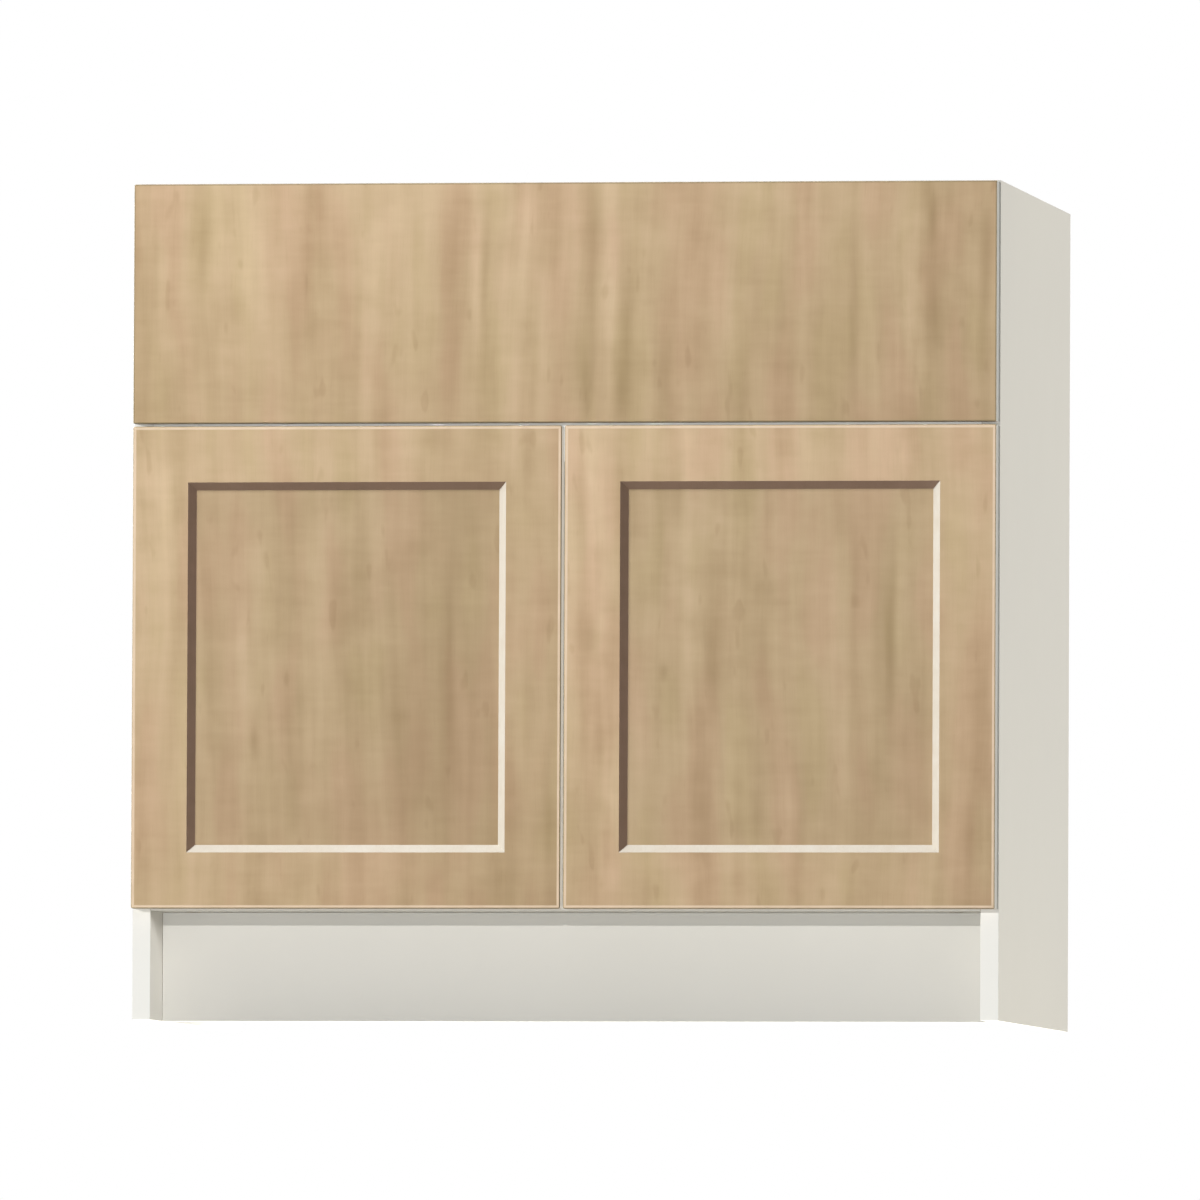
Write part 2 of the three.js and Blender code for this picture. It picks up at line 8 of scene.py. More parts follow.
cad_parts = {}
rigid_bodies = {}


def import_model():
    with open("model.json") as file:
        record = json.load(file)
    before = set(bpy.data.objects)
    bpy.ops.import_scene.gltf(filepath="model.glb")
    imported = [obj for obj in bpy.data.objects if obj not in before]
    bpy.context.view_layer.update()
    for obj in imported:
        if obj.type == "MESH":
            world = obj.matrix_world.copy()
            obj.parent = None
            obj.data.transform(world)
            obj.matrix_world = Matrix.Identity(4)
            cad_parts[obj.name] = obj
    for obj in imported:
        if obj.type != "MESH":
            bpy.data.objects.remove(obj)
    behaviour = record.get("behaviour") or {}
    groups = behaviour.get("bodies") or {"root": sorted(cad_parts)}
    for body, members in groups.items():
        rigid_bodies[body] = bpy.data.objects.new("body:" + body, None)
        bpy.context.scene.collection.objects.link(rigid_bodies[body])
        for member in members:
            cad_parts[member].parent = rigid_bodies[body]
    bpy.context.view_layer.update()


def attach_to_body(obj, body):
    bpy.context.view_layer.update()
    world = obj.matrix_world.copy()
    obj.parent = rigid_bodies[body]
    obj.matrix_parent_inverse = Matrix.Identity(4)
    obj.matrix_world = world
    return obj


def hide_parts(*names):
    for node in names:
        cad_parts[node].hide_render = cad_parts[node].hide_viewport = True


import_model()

# ------------------------------------------------------------------ dimensions, metres

MM = 0.001
WIDTH, HEIGHT, DEPTH, BOARD = 0.9144, 0.8763, 0.6096, 0.01905
FRONT_Y = -DEPTH / 2
DOOR_BACK_Y = FRONT_Y + BOARD
CARCASS_Y = DOOR_BACK_Y + 0.002
REAR_Y = DEPTH / 2
SIDE_X = WIDTH / 2
INNER_X = SIDE_X - BOARD
REVEAL = 0.0015875
DOOR_Z = (0.1158875, 0.6207125)
FALSE_Z = (0.6238875, 0.8747125)
STILE, BEVEL_W, RECESS = 0.05874, 0.00794, 0.0075
HINGE_Z = (0.2109, 0.5257)
CUP_U = 0.0241


def srgb(r, g, b, a=1.0):
    def lin(c):
        c /= 255.0
        return c / 12.92 if c <= 0.04045 else ((c + 0.055) / 1.055) ** 2.4
    return (lin(r), lin(g), lin(b), a)


# ------------------------------------------------------------------ node helpers

class Nodes:
    def __init__(self, name):
        self.mat = bpy.data.materials.new(name)
        self.mat.use_nodes = True
        self.t = self.mat.node_tree
        self.t.nodes.clear()
        self.out = self.t.nodes.new("ShaderNodeOutputMaterial")
        self.bsdf = self.t.nodes.new("ShaderNodeBsdfPrincipled")
        self.link(self.bsdf.outputs["BSDF"], self.out.inputs["Surface"])
        self.coord = self.t.nodes.new("ShaderNodeTexCoord").outputs["Object"]

    def link(self, a, b):
        self.t.links.new(a, b)

    def put(self, socket, value):
        if hasattr(value, "is_output"):
            self.link(value, socket)
        else:
            socket.default_value = value

    def math(self, op, a, b=0.0, c=None, clamp=False):
        n = self.t.nodes.new("ShaderNodeMath")
        n.operation = op
        n.use_clamp = clamp
        self.put(n.inputs[0], a)
        self.put(n.inputs[1], b)
        if c is not None:
            self.put(n.inputs[2], c)
        return n.outputs[0]

    def xyz(self, vec=None):
        n = self.t.nodes.new("ShaderNodeSeparateXYZ")
        self.link(vec or self.coord, n.inputs[0])
        return n.outputs[0], n.outputs[1], n.outputs[2]

    def combine(self, x, y, z):
        n = self.t.nodes.new("ShaderNodeCombineXYZ")
        for s, v in zip(n.inputs, (x, y, z)):
            self.put(s, v)
        return n.outputs[0]

    def scale(self, vec, s, offset=(0, 0, 0)):
        n = self.t.nodes.new("ShaderNodeMapping")
        self.link(vec, n.inputs["Vector"])
        n.inputs["Scale"].default_value = s
        n.inputs["Location"].default_value = offset
        return n.outputs[0]

    def noise(self, vec, scale=1.0, detail=2.0, rough=0.5, distortion=0.0, lac=2.0, color=False):
        n = self.t.nodes.new("ShaderNodeTexNoise")
        n.inputs["Scale"].default_value = scale
        n.inputs["Detail"].default_value = detail
        n.inputs["Roughness"].default_value = rough
        n.inputs["Lacunarity"].default_value = lac
        n.inputs["Distortion"].default_value = distortion
        self.link(vec, n.inputs["Vector"])
        return n.outputs["Color" if color else "Fac"]

    def voronoi(self, vec, scale=1.0, feature="F1", randomness=1.0, out="Distance"):
        n = self.t.nodes.new("ShaderNodeTexVoronoi")
        n.feature = feature
        n.inputs["Scale"].default_value = scale
        n.inputs["Randomness"].default_value = randomness
        self.link(vec, n.inputs["Vector"])
        return n.outputs[out]

    def ramp(self, fac, stops, mode="LINEAR"):
        n = self.t.nodes.new("ShaderNodeValToRGB")
        n.color_ramp.interpolation = mode
        e = n.color_ramp.elements
        while len(e) < len(stops):
            e.new(0.5)
        for el, (p, c) in zip(e, stops):
            el.position = p
            el.color = c if len(c) == 4 else (*c, 1)
        self.link(fac, n.inputs["Fac"])
        return n.outputs["Color"]

    def remap(self, v, a0, a1, b0=0.0, b1=1.0, smooth=False):
        n = self.t.nodes.new("ShaderNodeMapRange")
        if smooth:
            n.interpolation_type = "SMOOTHSTEP"
        self.put(n.inputs["Value"], v)
        n.inputs["From Min"].default_value = a0
        n.inputs["From Max"].default_value = a1
        n.inputs["To Min"].default_value = b0
        n.inputs["To Max"].default_value = b1
        return n.outputs["Result"]

    def mix(self, fac, a, b, mode="MIX"):
        n = self.t.nodes.new("ShaderNodeMix")
        n.data_type = "RGBA"
        n.blend_type = mode
        n.clamp_factor = True
        self.put(n.inputs["Factor"], fac)
        self.put(n.inputs[6], a)
        self.put(n.inputs[7], b)
        return n.outputs[2]

    def bump(self, height, strength, distance=0.001, normal=None):
        n = self.t.nodes.new("ShaderNodeBump")
        n.inputs["Strength"].default_value = strength
        n.inputs["Distance"].default_value = distance
        self.link(height, n.inputs["Height"])
        if normal is not None:
            self.link(normal, n.inputs["Normal"])
        return n.outputs["Normal"]

    def set(self, **k):
        names = {"color": "Base Color", "rough": "Roughness", "metal": "Metallic", "spec": "Specular IOR Level",
                 "ior": "IOR", "normal": "Normal", "coat": "Coat Weight", "coat_rough": "Coat Roughness",
                 "alpha": "Alpha", "sss": "Subsurface Weight", "aniso": "Anisotropic", "trans": "Transmission Weight",
                 "coat_normal": "Coat Normal"}
        for key, value in k.items():
            self.put(self.bsdf.inputs[names[key]], value)
        return self.mat


# ------------------------------------------------------------------ materials

# Marks of the grain: (x, lowest z, highest z, half width, tone), in millimetres from the middle of the
# front and from the floor. Tone above 0 is paler than the ground, below 0 darker.
MARKS = {
    "false": [
        (-381, 745, 872, 5, -0.75), (-330, 700, 872, 21, 0.55), (-286, 640, 860, 8, -0.40), (-372, 624, 740, 6, -0.45),
        (-398, 640, 800, 7, 0.40), (-120, 624, 820, 15, -0.80), (-94, 700, 874, 4.5, 0.95), (-84, 720, 850, 5, -0.55),
        (-9, 740, 850, 6, -0.40), (28, 624, 874, 7, -0.85), (24, 624, 700, 6, -0.75), (49, 640, 874, 5.5, 0.75),
        (66, 660, 820, 6, -0.80), (60, 624, 690, 7, -0.95), (84, 640, 874, 6, 0.45), (106, 630, 730, 6, -0.55),
        (206, 660, 790, 7, -0.60), (252, 745, 874, 5, 0.25), (305, 624, 790, 5, -1.15), (318, 700, 860, 5, 0.40),
        (336, 640, 800, 8, -0.60), (363, 640, 780, 8, 0.45), (388, 800, 872, 4.5, -1.15), (389, 690, 790, 6, -1.0),
        (441, 700, 850, 6, -0.80), (-60, 640, 760, 12, 0.2), (150, 700, 850, 16, 0.2), (-200, 650, 850, 18, 0.15),
        # broader runs, some of them carried on from one front to the next
        (-127, 753, 873, 25, -0.8), (40, 789, 873, 9, -0.9), (15, 622, 753, 9, -0.9), (-392, 627, 774, 9, -0.8), (308, 732, 873, 8, -0.9),
        (368, 622, 879, 14, 1.0), (447, 763, 868, 7, -0.8),
    ],
    "left": [
        (-342, 420, 610, 8, 0.45), (-246, 330, 540, 6, -0.45), (-196, 470, 560, 24, 0.30), (-120, 190, 620, 8, -0.95),
        (-122, 250, 480, 7, -0.50), (-170, 190, 400, 15, -0.70), (-88, 190, 470, 12, -0.55), (-174, 300, 330, 9, -0.55),
        (-328, 270, 312, 4.5, -1.15), (-276, 315, 355, 6, -0.60), (-340, 300, 440, 5, 0.45), (-38, 260, 440, 8, -0.50),
        (-36, 540, 618, 6, -0.45), (-420, 430, 610, 9, 0.55), (-404, 380, 450, 6, -0.45), (-283, 210, 270, 8, -0.45),
        (-420, 120, 300, 6, -0.35), (-232, 210, 320, 8, 0.25), (-270, 480, 560, 12, -0.20),
        # broader runs, some of them carried on from one front to the next
        (-140, 585, 625, 13, -0.8), (-418, 196, 438, 12, -0.7), (-146, 196, 364, 15, -0.6), (-434, 522, 616, 15, 0.6),
    ],
    "right": [
        (30, 450, 618, 9, 0.85), (38, 290, 500, 8, 0.75), (50, 118, 330, 8, 0.75), (18, 375, 445, 7, -0.60),
        (10, 140, 260, 8, -0.55), (70, 118, 175, 9, -0.75), (120, 510, 590, 5, -0.55), (119, 300, 410, 6, -0.65),
        (106, 352, 374, 5, -1.05), (134, 330, 560, 8, 0.35), (211, 320, 440, 5, -0.60), (206, 190, 240, 8, -0.50),
        (269, 420, 540, 7, -0.55), (308, 190, 560, 5.5, -0.90), (345, 310, 490, 6, -1.0), (358, 330, 520, 5, 0.40),
        (379, 190, 400, 6, -0.60), (146, 190, 245, 9, -0.55), (258, 185, 285, 8, -0.55), (426, 120, 240, 7, -0.45),
        (174, 190, 320, 9, 0.40), (225, 480, 560, 20, 0.20), (240, 190, 300, 6, 0.30),
        # broader runs, some of them carried on from one front to the next
        (19, 438, 606, 8, -1.0), (31, 375, 427, 7, -0.9), (28, 118, 280, 9, -0.9), (164, 480, 543, 19, 0.7), (143, 123, 280, 10, 0.8),
        (316, 417, 564, 17, -0.7), (358, 564, 622, 9, 0.9),
    ],
}


def oak_foil(name, marks, z0, z1, edges, edge_shade_line, recess=False, side_shade=0.4):
    """Pale natural oak foil with soft upright figure that runs on from one front to the next."""
    n = Nodes(name)
    x, y, z = n.xyz()
    # slow sideways wander of the grain
    wander = n.noise(n.scale(n.coord, (2.2, 0.2, 1.6)), 1.0, 1.5, 0.5)
    wobble = n.noise(n.scale(n.coord, (18, 0.5, 9.0), (3.1, 0, 1.7)), 1.0, 1.5, 0.5)
    xs = n.math("MULTIPLY_ADD", wander, 0.040, n.math("ADD", x, -0.020))
    xs = n.math("MULTIPLY_ADD", wobble, 0.007, n.math("ADD", xs, -0.0035))
    v = n.combine(xs, n.math("MULTIPLY", y, 0.25), z)
    broad = n.noise(n.scale(v, (13, 4, 2.1), (1.3, 0, 4.1)), 1.0, 1.2, 0.5)
    streak = n.noise(n.scale(v, (48, 6, 4.2), (7.9, 0, 2.2)), 1.0, 1.6, 0.45)
    thin = n.noise(n.scale(v, (130, 10, 9), (2.7, 0, 9.4)), 1.0, 1.6, 0.5)
    blotch = n.noise(n.scale(v, (24, 5, 30), (5.5, 0, 0.6)), 1.0, 2.5, 0.5)
    cross = n.noise(n.scale(n.coord, (26, 5, 150), (8.5, 0, 3.6)), 1.0, 2.0, 0.5)
    hue = n.noise(n.scale(v, (24, 4, 6.0), (11.2, 0, 7.3)), 1.0, 1.6, 0.5)
    fleck = n.noise(n.scale(v, (70, 8, 24), (4.4, 0, 3.9)), 1.0, 1.0, 0.45)
    fibre = n.noise(n.scale(v, (900, 60, 14), (0.4, 0, 0.9)), 1.0, 2.0, 0.6)
    pore = n.noise(n.scale(v, (2600, 200, 42), (9.1, 0, 5.2)), 1.0, 1.0, 0.5)

    # the listed marks, on a coordinate that wavers a little so that their edges do too
    mark_x = n.math("MULTIPLY_ADD", wobble, 0.009, n.math("ADD", x, -0.0045))
    mv = n.combine(mark_x, 0.0, z)
    acc = None
    for mx, lo, hi, half, tone_by in marks:
        half_z = (hi - lo) * 0.5 * 0.72
        q = n.t.nodes.new("ShaderNodeVectorMath")
        q.operation = "MULTIPLY_ADD"
        n.link(mv, q.inputs[0])
        q.inputs[1].default_value = (1000 / half, 0, 1000 / half_z)
        q.inputs[2].default_value = (-mx / half, 0, -(lo + hi) / 2 / half_z)
        dot = n.t.nodes.new("ShaderNodeVectorMath")
        dot.operation = "DOT_PRODUCT"
        n.link(q.outputs[0], dot.inputs[0])
        n.link(q.outputs[0], dot.inputs[1])
        g = n.math("POWER", 0.5, dot.outputs["Value"])
        acc = n.math("MULTIPLY_ADD", g, tone_by, acc if acc is not None else 0.0)
    ragged = n.remap(n.math("ADD", n.math("MULTIPLY", blotch, 0.6), n.math("MULTIPLY", thin, 0.4)), 0.35, 0.65, 0.6, 1.35)

    tone = n.math("MULTIPLY_ADD", broad, 0.30, 0.5 - 0.15)
    tone = n.math("MULTIPLY_ADD", streak, 0.54, n.math("ADD", tone, -0.27))
    tone = n.math("MULTIPLY_ADD", thin, 0.11, n.math("ADD", tone, -0.055))
    tone = n.math("MULTIPLY_ADD", blotch, 0.34, n.math("ADD", tone, -0.17))
    tone = n.math("MULTIPLY_ADD", cross, 0.11, n.math("ADD", tone, -0.055))
    tone = n.math("MULTIPLY_ADD", n.math("MULTIPLY", acc, ragged), 0.205, tone)
    col = n.ramp(tone, [(0.0, srgb(163, 138, 103)), (0.27, srgb(182, 157, 121)), (0.5, srgb(199, 174, 139)),
                        (0.72, srgb(212, 187, 153)), (1.0, srgb(226, 203, 170))])
    pink = n.remap(hue, 0.46, 0.66, 0.0, 0.60, True)
    col = n.mix(pink, col, n.mix(1.0, col, srgb(253, 243, 247), "MULTIPLY"))
    green = n.remap(hue, 0.46, 0.30, 0.0, 0.5, True)
    col = n.mix(green, col, n.mix(1.0, col, srgb(249, 253, 243), "MULTIPLY"))
    spots = n.remap(fleck, 0.68, 0.78, 0.0, 0.30, True)
    col = n.mix(spots, col, n.mix(1.0, col, srgb(220, 212, 198), "MULTIPLY"))
    col = n.mix(n.remap(fibre, 0.36, 0.7, 0.0, 0.09), col, n.mix(1.0, col, srgb(226, 219, 208), "MULTIPLY"))
    col = n.mix(n.remap(pore, 0.62, 0.74, 0.0, 0.14, True), col, n.mix(1.0, col, srgb(206, 192, 172), "MULTIPLY"))
    # painted shade: each board is made a little darker towards its foot and its right side, as if lit from above and
    # the left
    x0, x1 = edges
    foot_shade = n.remap(z, z0, z1, 1.0, 0.0)
    col = n.mix(n.math("MULTIPLY", foot_shade, 0.62), col, n.mix(1.0, col, srgb(232, 229, 223), "MULTIPLY"))
    col = n.mix(n.remap(x, x0, x1, 0.0, side_shade), col, n.mix(1.0, col, srgb(230, 228, 222), "MULTIPLY"))
    if recess:
        # painted shade: the recessed centre panel is made darker than the frame round it
        recess_shade = n.remap(y, FRONT_Y + 0.0058, FRONT_Y + 0.0072, 0.0, 1.0)
        col = n.mix(n.math("MULTIPLY", recess_shade, 0.62), col, n.mix(1.0, col, srgb(232, 232, 228), "MULTIPLY"))
    # painted shade: a darker line where the foil ends at the board's edge
    e = n.math("MINIMUM", n.math("SUBTRACT", x, x0), n.math("SUBTRACT", x1, x))
    e = n.math("MINIMUM", e, n.math("SUBTRACT", z, z0))
    e = n.math("MINIMUM", e, n.math("SUBTRACT", z1, z))
    if recess:
        # painted highlight: a pale line on the eased margin of a door, where its rounded edge would catch the light,
        # broken up unevenly by noise
        highlight_breakup = n.remap(n.noise(n.scale(n.coord, (55, 55, 55)), 1.0, 2.0, 0.6), 0.3, 0.7, 0.75, 1.0)
        line = n.math("MULTIPLY", n.remap(e, 0.0008, 0.0013, 0.0, 1.0), n.remap(e, 0.0031, 0.0037, 1.0, 0.0))
        col = n.mix(n.math("MULTIPLY", n.math("MULTIPLY", line, highlight_breakup), 0.9), col, srgb(226, 204, 178))
    # the painted shade line along the board's edge
    rim = n.remap(e, edge_shade_line[0], edge_shade_line[1], edge_shade_line[2], 0.0)
    col = n.mix(rim, col, srgb(128, 116, 82))
    rough = n.remap(n.math("ADD", n.math("MULTIPLY", fibre, 0.6), n.math("MULTIPLY", streak, 0.4)), 0.3, 0.7, 0.36, 0.46)
    height = n.math("ADD", n.math("MULTIPLY", fibre, 0.5), n.math("MULTIPLY", pore, -0.8))
    normal = n.bump(height, 0.10, 0.00025)
    return n.set(color=col, rough=rough, normal=normal, spec=0.5)


def edge_foil(name):
    """Thin edge strip round a door in a paler, plainer oak than the face."""
    n = Nodes(name)
    long_grain = n.noise(n.scale(n.coord, (30, 420, 30)), 1.0, 2.0, 0.55)
    fine = n.noise(n.scale(n.coord, (220, 2400, 220), (2, 0, 1)), 1.0, 2.0, 0.6)
    patch = n.noise(n.scale(n.coord, (11, 11, 11), (4, 1, 7)), 1.0, 2.0, 0.5)
    col = n.ramp(long_grain, [(0.25, srgb(214, 196, 172)), (0.5, srgb(226, 209, 187)), (0.75, srgb(234, 219, 199))])
    col = n.mix(n.remap(fine, 0.4, 0.7, 0.0, 0.3), col, srgb(206, 187, 162))
    col = n.mix(n.remap(patch, 0.45, 0.75, 0.0, 0.35), col, srgb(220, 201, 176))
    return n.set(color=col, rough=n.remap(fine, 0.3, 0.7, 0.38, 0.5), normal=n.bump(fine, 0.08, 0.0002), spec=0.5)


def slope_foil(name, base, second):
    """Foil stretched over the milled slopes of a door panel, with its grain drawn out; made paler than the face for a
    painted highlight, or deeper for painted shade.
    """
    n = Nodes(name)
    slow = n.noise(n.scale(n.coord, (9, 9, 9), (6, 1, 2)), 1.0, 2.0, 0.5)
    drawn = n.noise(n.scale(n.coord, (60, 60, 60), (1, 5, 3)), 1.0, 2.0, 0.55)
    fine = n.noise(n.scale(n.coord, (700, 300, 40), (8, 0, 4)), 1.0, 2.0, 0.6)
    col = n.mix(n.remap(drawn, 0.35, 0.7, 0.0, 0.45), base, second)
    col = n.mix(n.remap(slow, 0.4, 0.7, 0.0, 0.30), col, second)
    col = n.mix(n.remap(fine, 0.45, 0.75, 0.0, 0.12), col, n.mix(1.0, col, srgb(214, 204, 190), "MULTIPLY"))
    return n.set(color=col, rough=n.remap(fine, 0.3, 0.7, 0.40, 0.52), normal=n.bump(fine, 0.06, 0.0002), spec=0.4)


def melamine(name, base, dark, rough=(0.42, 0.52), bump=0.05, spec=0.45):
    """Satin melamine face with a very fine pearl texture."""
    n = Nodes(name)
    cloud = n.noise(n.scale(n.coord, (3.0, 3.0, 3.0)), 1.0, 3.0, 0.55)
    grime = n.noise(n.scale(n.coord, (22, 22, 9), (2, 5, 1)), 1.0, 4.0, 0.6)
    pearl = n.noise(n.scale(n.coord, (2600, 2600, 2600)), 1.0, 2.0, 0.5)
    col = n.mix(n.remap(cloud, 0.35, 0.7, 0.0, 0.5), base, dark)
    col = n.mix(n.remap(grime, 0.62, 0.8, 0.0, 0.22), col, dark)
    r = n.remap(n.math("ADD", n.math("MULTIPLY", cloud, 0.5), n.math("MULTIPLY", pearl, 0.5)), 0.35, 0.65, rough[0], rough[1])
    return n.set(color=col, rough=r, normal=n.bump(pearl, bump, 0.0003), spec=spec)


def particle_board(name="particle_board"):
    """Raw board edge: pressed wood chips, a coarse and a fine size mixed together."""
    n = Nodes(name)
    chip = n.voronoi(n.scale(n.coord, (420, 300, 300)), 1.0, "F1", 1.0, "Color")
    chip2 = n.voronoi(n.scale(n.coord, (900, 700, 700)), 1.0, "F1", 1.0, "Color")
    cx, cy, cz = n.xyz(chip)
    dx, dy, dz = n.xyz(chip2)
    col = n.ramp(cx, [(0.0, srgb(150, 116, 76)), (0.35, srgb(186, 152, 108)), (0.7, srgb(206, 176, 134)), (1.0, srgb(226, 201, 163))])
    col2 = n.ramp(dy, [(0.0, srgb(134, 101, 64)), (0.5, srgb(190, 157, 113)), (1.0, srgb(222, 196, 155))])
    col = n.mix(0.42, col, col2)
    gap = n.noise(n.scale(n.coord, (1400, 1400, 1400)), 1.0, 2.0, 0.6)
    col = n.mix(n.remap(gap, 0.60, 0.72, 0.0, 0.55), col, srgb(96, 70, 44))
    h = n.math("ADD", n.math("MULTIPLY", cx, 0.5), n.math("MULTIPLY", gap, -0.7))
    return n.set(color=col, rough=n.remap(gap, 0.3, 0.7, 0.82, 0.95), normal=n.bump(h, 0.45, 0.0005), spec=0.2)


def hardboard(name="hardboard_rear"):
    n = Nodes(name)
    f = n.noise(n.scale(n.coord, (700, 700, 700)), 1.0, 3.0, 0.7)
    c = n.noise(n.scale(n.coord, (9, 9, 9)), 1.0, 3.0, 0.6)
    strand = n.noise(n.scale(n.coord, (90, 90, 360), (3, 1, 2)), 1.0, 3.0, 0.65)
    col = n.ramp(f, [(0.25, srgb(150, 120, 86)), (0.5, srgb(171, 141, 104)), (0.8, srgb(190, 162, 124))])
    col = n.mix(n.remap(c, 0.35, 0.7, 0.0, 0.35), col, srgb(140, 110, 76))
    col = n.mix(n.remap(strand, 0.58, 0.75, 0.0, 0.4), col, srgb(205, 180, 143))
    return n.set(color=col, rough=n.remap(f, 0.3, 0.7, 0.68, 0.8), normal=n.bump(f, 0.25, 0.0004), spec=0.25)


def metal(name, base, rough, brushed=(900, 900, 60), bump=0.04, tarnish=0.12):
    n = Nodes(name)
    brush = n.noise(n.scale(n.coord, brushed), 1.0, 3.0, 0.65)
    cloud = n.noise(n.scale(n.coord, (60, 60, 60)), 1.0, 3.0, 0.6)
    spot = n.noise(n.scale(n.coord, (420, 420, 420), (1, 2, 3)), 1.0, 2.0, 0.5)
    dark = (base[0] * 0.72, base[1] * 0.70, base[2] * 0.66, 1)
    col = n.mix(n.remap(cloud, 0.4, 0.75, 0.0, tarnish * 2), base, dark)
    col = n.mix(n.remap(spot, 0.64, 0.76, 0.0, tarnish), col, dark)
    r = n.remap(n.math("ADD", n.math("MULTIPLY", brush, 0.6), n.math("MULTIPLY", cloud, 0.4)), 0.3, 0.7, rough[0], rough[1])
    return n.set(color=col, metal=1.0, rough=r, normal=n.bump(brush, bump, 0.0002))


def moulded(name, base, rough=(0.38, 0.5), scale=1500, bump=0.12, sss=0.05):
    n = Nodes(name)
    t = n.noise(n.scale(n.coord, (scale, scale, scale)), 1.0, 2.0, 0.5)
    c = n.noise(n.scale(n.coord, (35, 35, 35)), 1.0, 2.0, 0.5)
    dark = (base[0] * 0.9, base[1] * 0.9, base[2] * 0.88, 1)
    col = n.mix(n.remap(c, 0.35, 0.7, 0.0, 0.5), base, dark)
    return n.set(color=col, rough=n.remap(t, 0.3, 0.7, rough[0], rough[1]), normal=n.bump(t, bump, 0.0002), spec=0.5)


DOOR_X = {"left": (-SIDE_X + REVEAL, -REVEAL), "right": (REVEAL, SIDE_X - REVEAL)}
M = {
    "oak_false": oak_foil("oak_false_front", MARKS["false"], *FALSE_Z, (-SIDE_X + REVEAL, SIDE_X - REVEAL), (0.0010, 0.0018, 0.6), side_shade=0.75),
    "oak_left": oak_foil("oak_left_door", MARKS["left"], *DOOR_Z, DOOR_X["left"], (0.0005, 0.0009, 0.55), True, 0.6),
    "oak_right": oak_foil("oak_right_door", MARKS["right"], *DOOR_Z, DOOR_X["right"], (0.0005, 0.0009, 0.55), True, 0.2),
    "edge": edge_foil("oak_edge_strip"),
    # the slope foils are painted light: a paler one for painted highlight, a deeper one for painted shade
    "slope_painted_highlight": slope_foil("oak_slope_painted_highlight", srgb(199, 193, 181), srgb(190, 179, 162)),
    "slope_painted_shade": slope_foil("oak_slope_painted_shade", srgb(166, 138, 120), srgb(154, 128, 108)),
    "white": melamine("white_melamine", srgb(218, 215, 207), srgb(212, 209, 200)),
    "white_in": melamine("white_door_back", srgb(222, 219, 211), srgb(215, 212, 203)),
    "band": melamine("white_edge_band", srgb(245, 245, 240), srgb(241, 240, 235), (0.30, 0.40), 0.03, 0.5),
    "board": particle_board(),
    "rear": hardboard(),
    "nickel": metal("nickel_plate", srgb(206, 203, 197), (0.20, 0.33)),
    "zinc": metal("zinc_plate", srgb(176, 177, 178), (0.32, 0.5), (300, 300, 300), 0.08, 0.2),
    "steel": metal("steel_screw", srgb(196, 194, 188), (0.22, 0.36), (500, 500, 500), 0.06, 0.15),
    "plastic": moulded("white_plastic", srgb(236, 235, 230)),
    "bumper": moulded("clear_bumper", srgb(214, 217, 219), (0.18, 0.3), 700, 0.05),
}

# ------------------------------------------------------------------ mesh helpers


def make(name, bm, mats, body, nodes=(), angle=40, weighted=True):
    bmesh.ops.recalc_face_normals(bm, faces=bm.faces)
    me = bpy.data.meshes.new(name)
    bm.to_mesh(me)
    bm.free()
    o = bpy.data.objects.new(name, me)
    bpy.context.scene.collection.objects.link(o)
    for m in mats:
        me.materials.append(m)
    smooth(o, angle, weighted)
    attach(o, body, nodes)
    return o


def smooth(o, angle=40, weighted=True):
    me = o.data
    me.shade_smooth()
    me.set_sharp_from_angle(angle=math.radians(angle))
    if weighted:
        w = o.modifiers.new("weighted_normals", "WEIGHTED_NORMAL")
        w.keep_sharp = True
        w.weight = 80


def attach(o, body, nodes=()):
    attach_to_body(o, body)
    if nodes:
        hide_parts(*nodes)


def box_bm(lo, hi, r=0.0004, seg=2, bm=None):
    bm = bm or bmesh.new()
    res = bmesh.ops.create_cube(bm, size=1.0)
    verts = res["verts"]
    size = [b - a for a, b in zip(lo, hi)]
    mid = [(a + b) / 2 for a, b in zip(lo, hi)]
    for v in verts:
        v.co = Vector((mid[i] + v.co[i] * size[i] for i in range(3)))
    if r > 0:
        edges = {e for v in verts for e in v.link_edges}
        bmesh.ops.bevel(bm, geom=list(edges), offset=r, segments=seg, profile=0.5, affect="EDGES", clamp_overlap=True)
    return bm


def lathe_bm(profile, n=48, bm=None):
    """profile: (radius, height) pairs, closed onto the axis Z at both ends."""
    bm = bm or bmesh.new()
    rings = []
    for r, h in profile:
        if r < 1e-9:
            rings.append([bm.verts.new((0, 0, h))])
        else:
            rings.append([bm.verts.new((r * math.cos(2 * math.pi * i / n), r * math.sin(2 * math.pi * i / n), h)) for i in range(n)])
    for a, b in zip(rings[:-1], rings[1:]):
        for i in range(n):
            j = (i + 1) % n
            q = [a[i % len(a)], a[j % len(a)], b[j % len(b)], b[i % len(b)]]
            u = []
            for v in q:
                if v not in u:
                    u.append(v)
            if len(u) > 2:
                bm.faces.new(u)
    return bm


def axis_matrix(axis, at, flip=False):
    """Takes +Z to the axis given, and puts the origin at a point."""
    d = {"x": Vector((1, 0, 0)), "y": Vector((0, 1, 0)), "z": Vector((0, 0, 1))}[axis]
    if flip:
        d = -d
    return Matrix.Translation(at) @ d.to_track_quat("Z", "Y").to_matrix().to_4x4()


def cutter(bm):
    bmesh.ops.recalc_face_normals(bm, faces=bm.faces)
    me = bpy.data.meshes.new("cut")
    bm.to_mesh(me)
    bm.free()
    o = bpy.data.objects.new("cut", me)
    bpy.context.scene.collection.objects.link(o)
    return o


def rod(axis, at, length, r, n=32):
    """A plain bar for cutting: starts at a point and runs along +axis."""
    bm = lathe_bm([(0, 0), (r, 0), (r, length), (0, length)], n)
    bm.transform(axis_matrix(axis, at))
    return bm


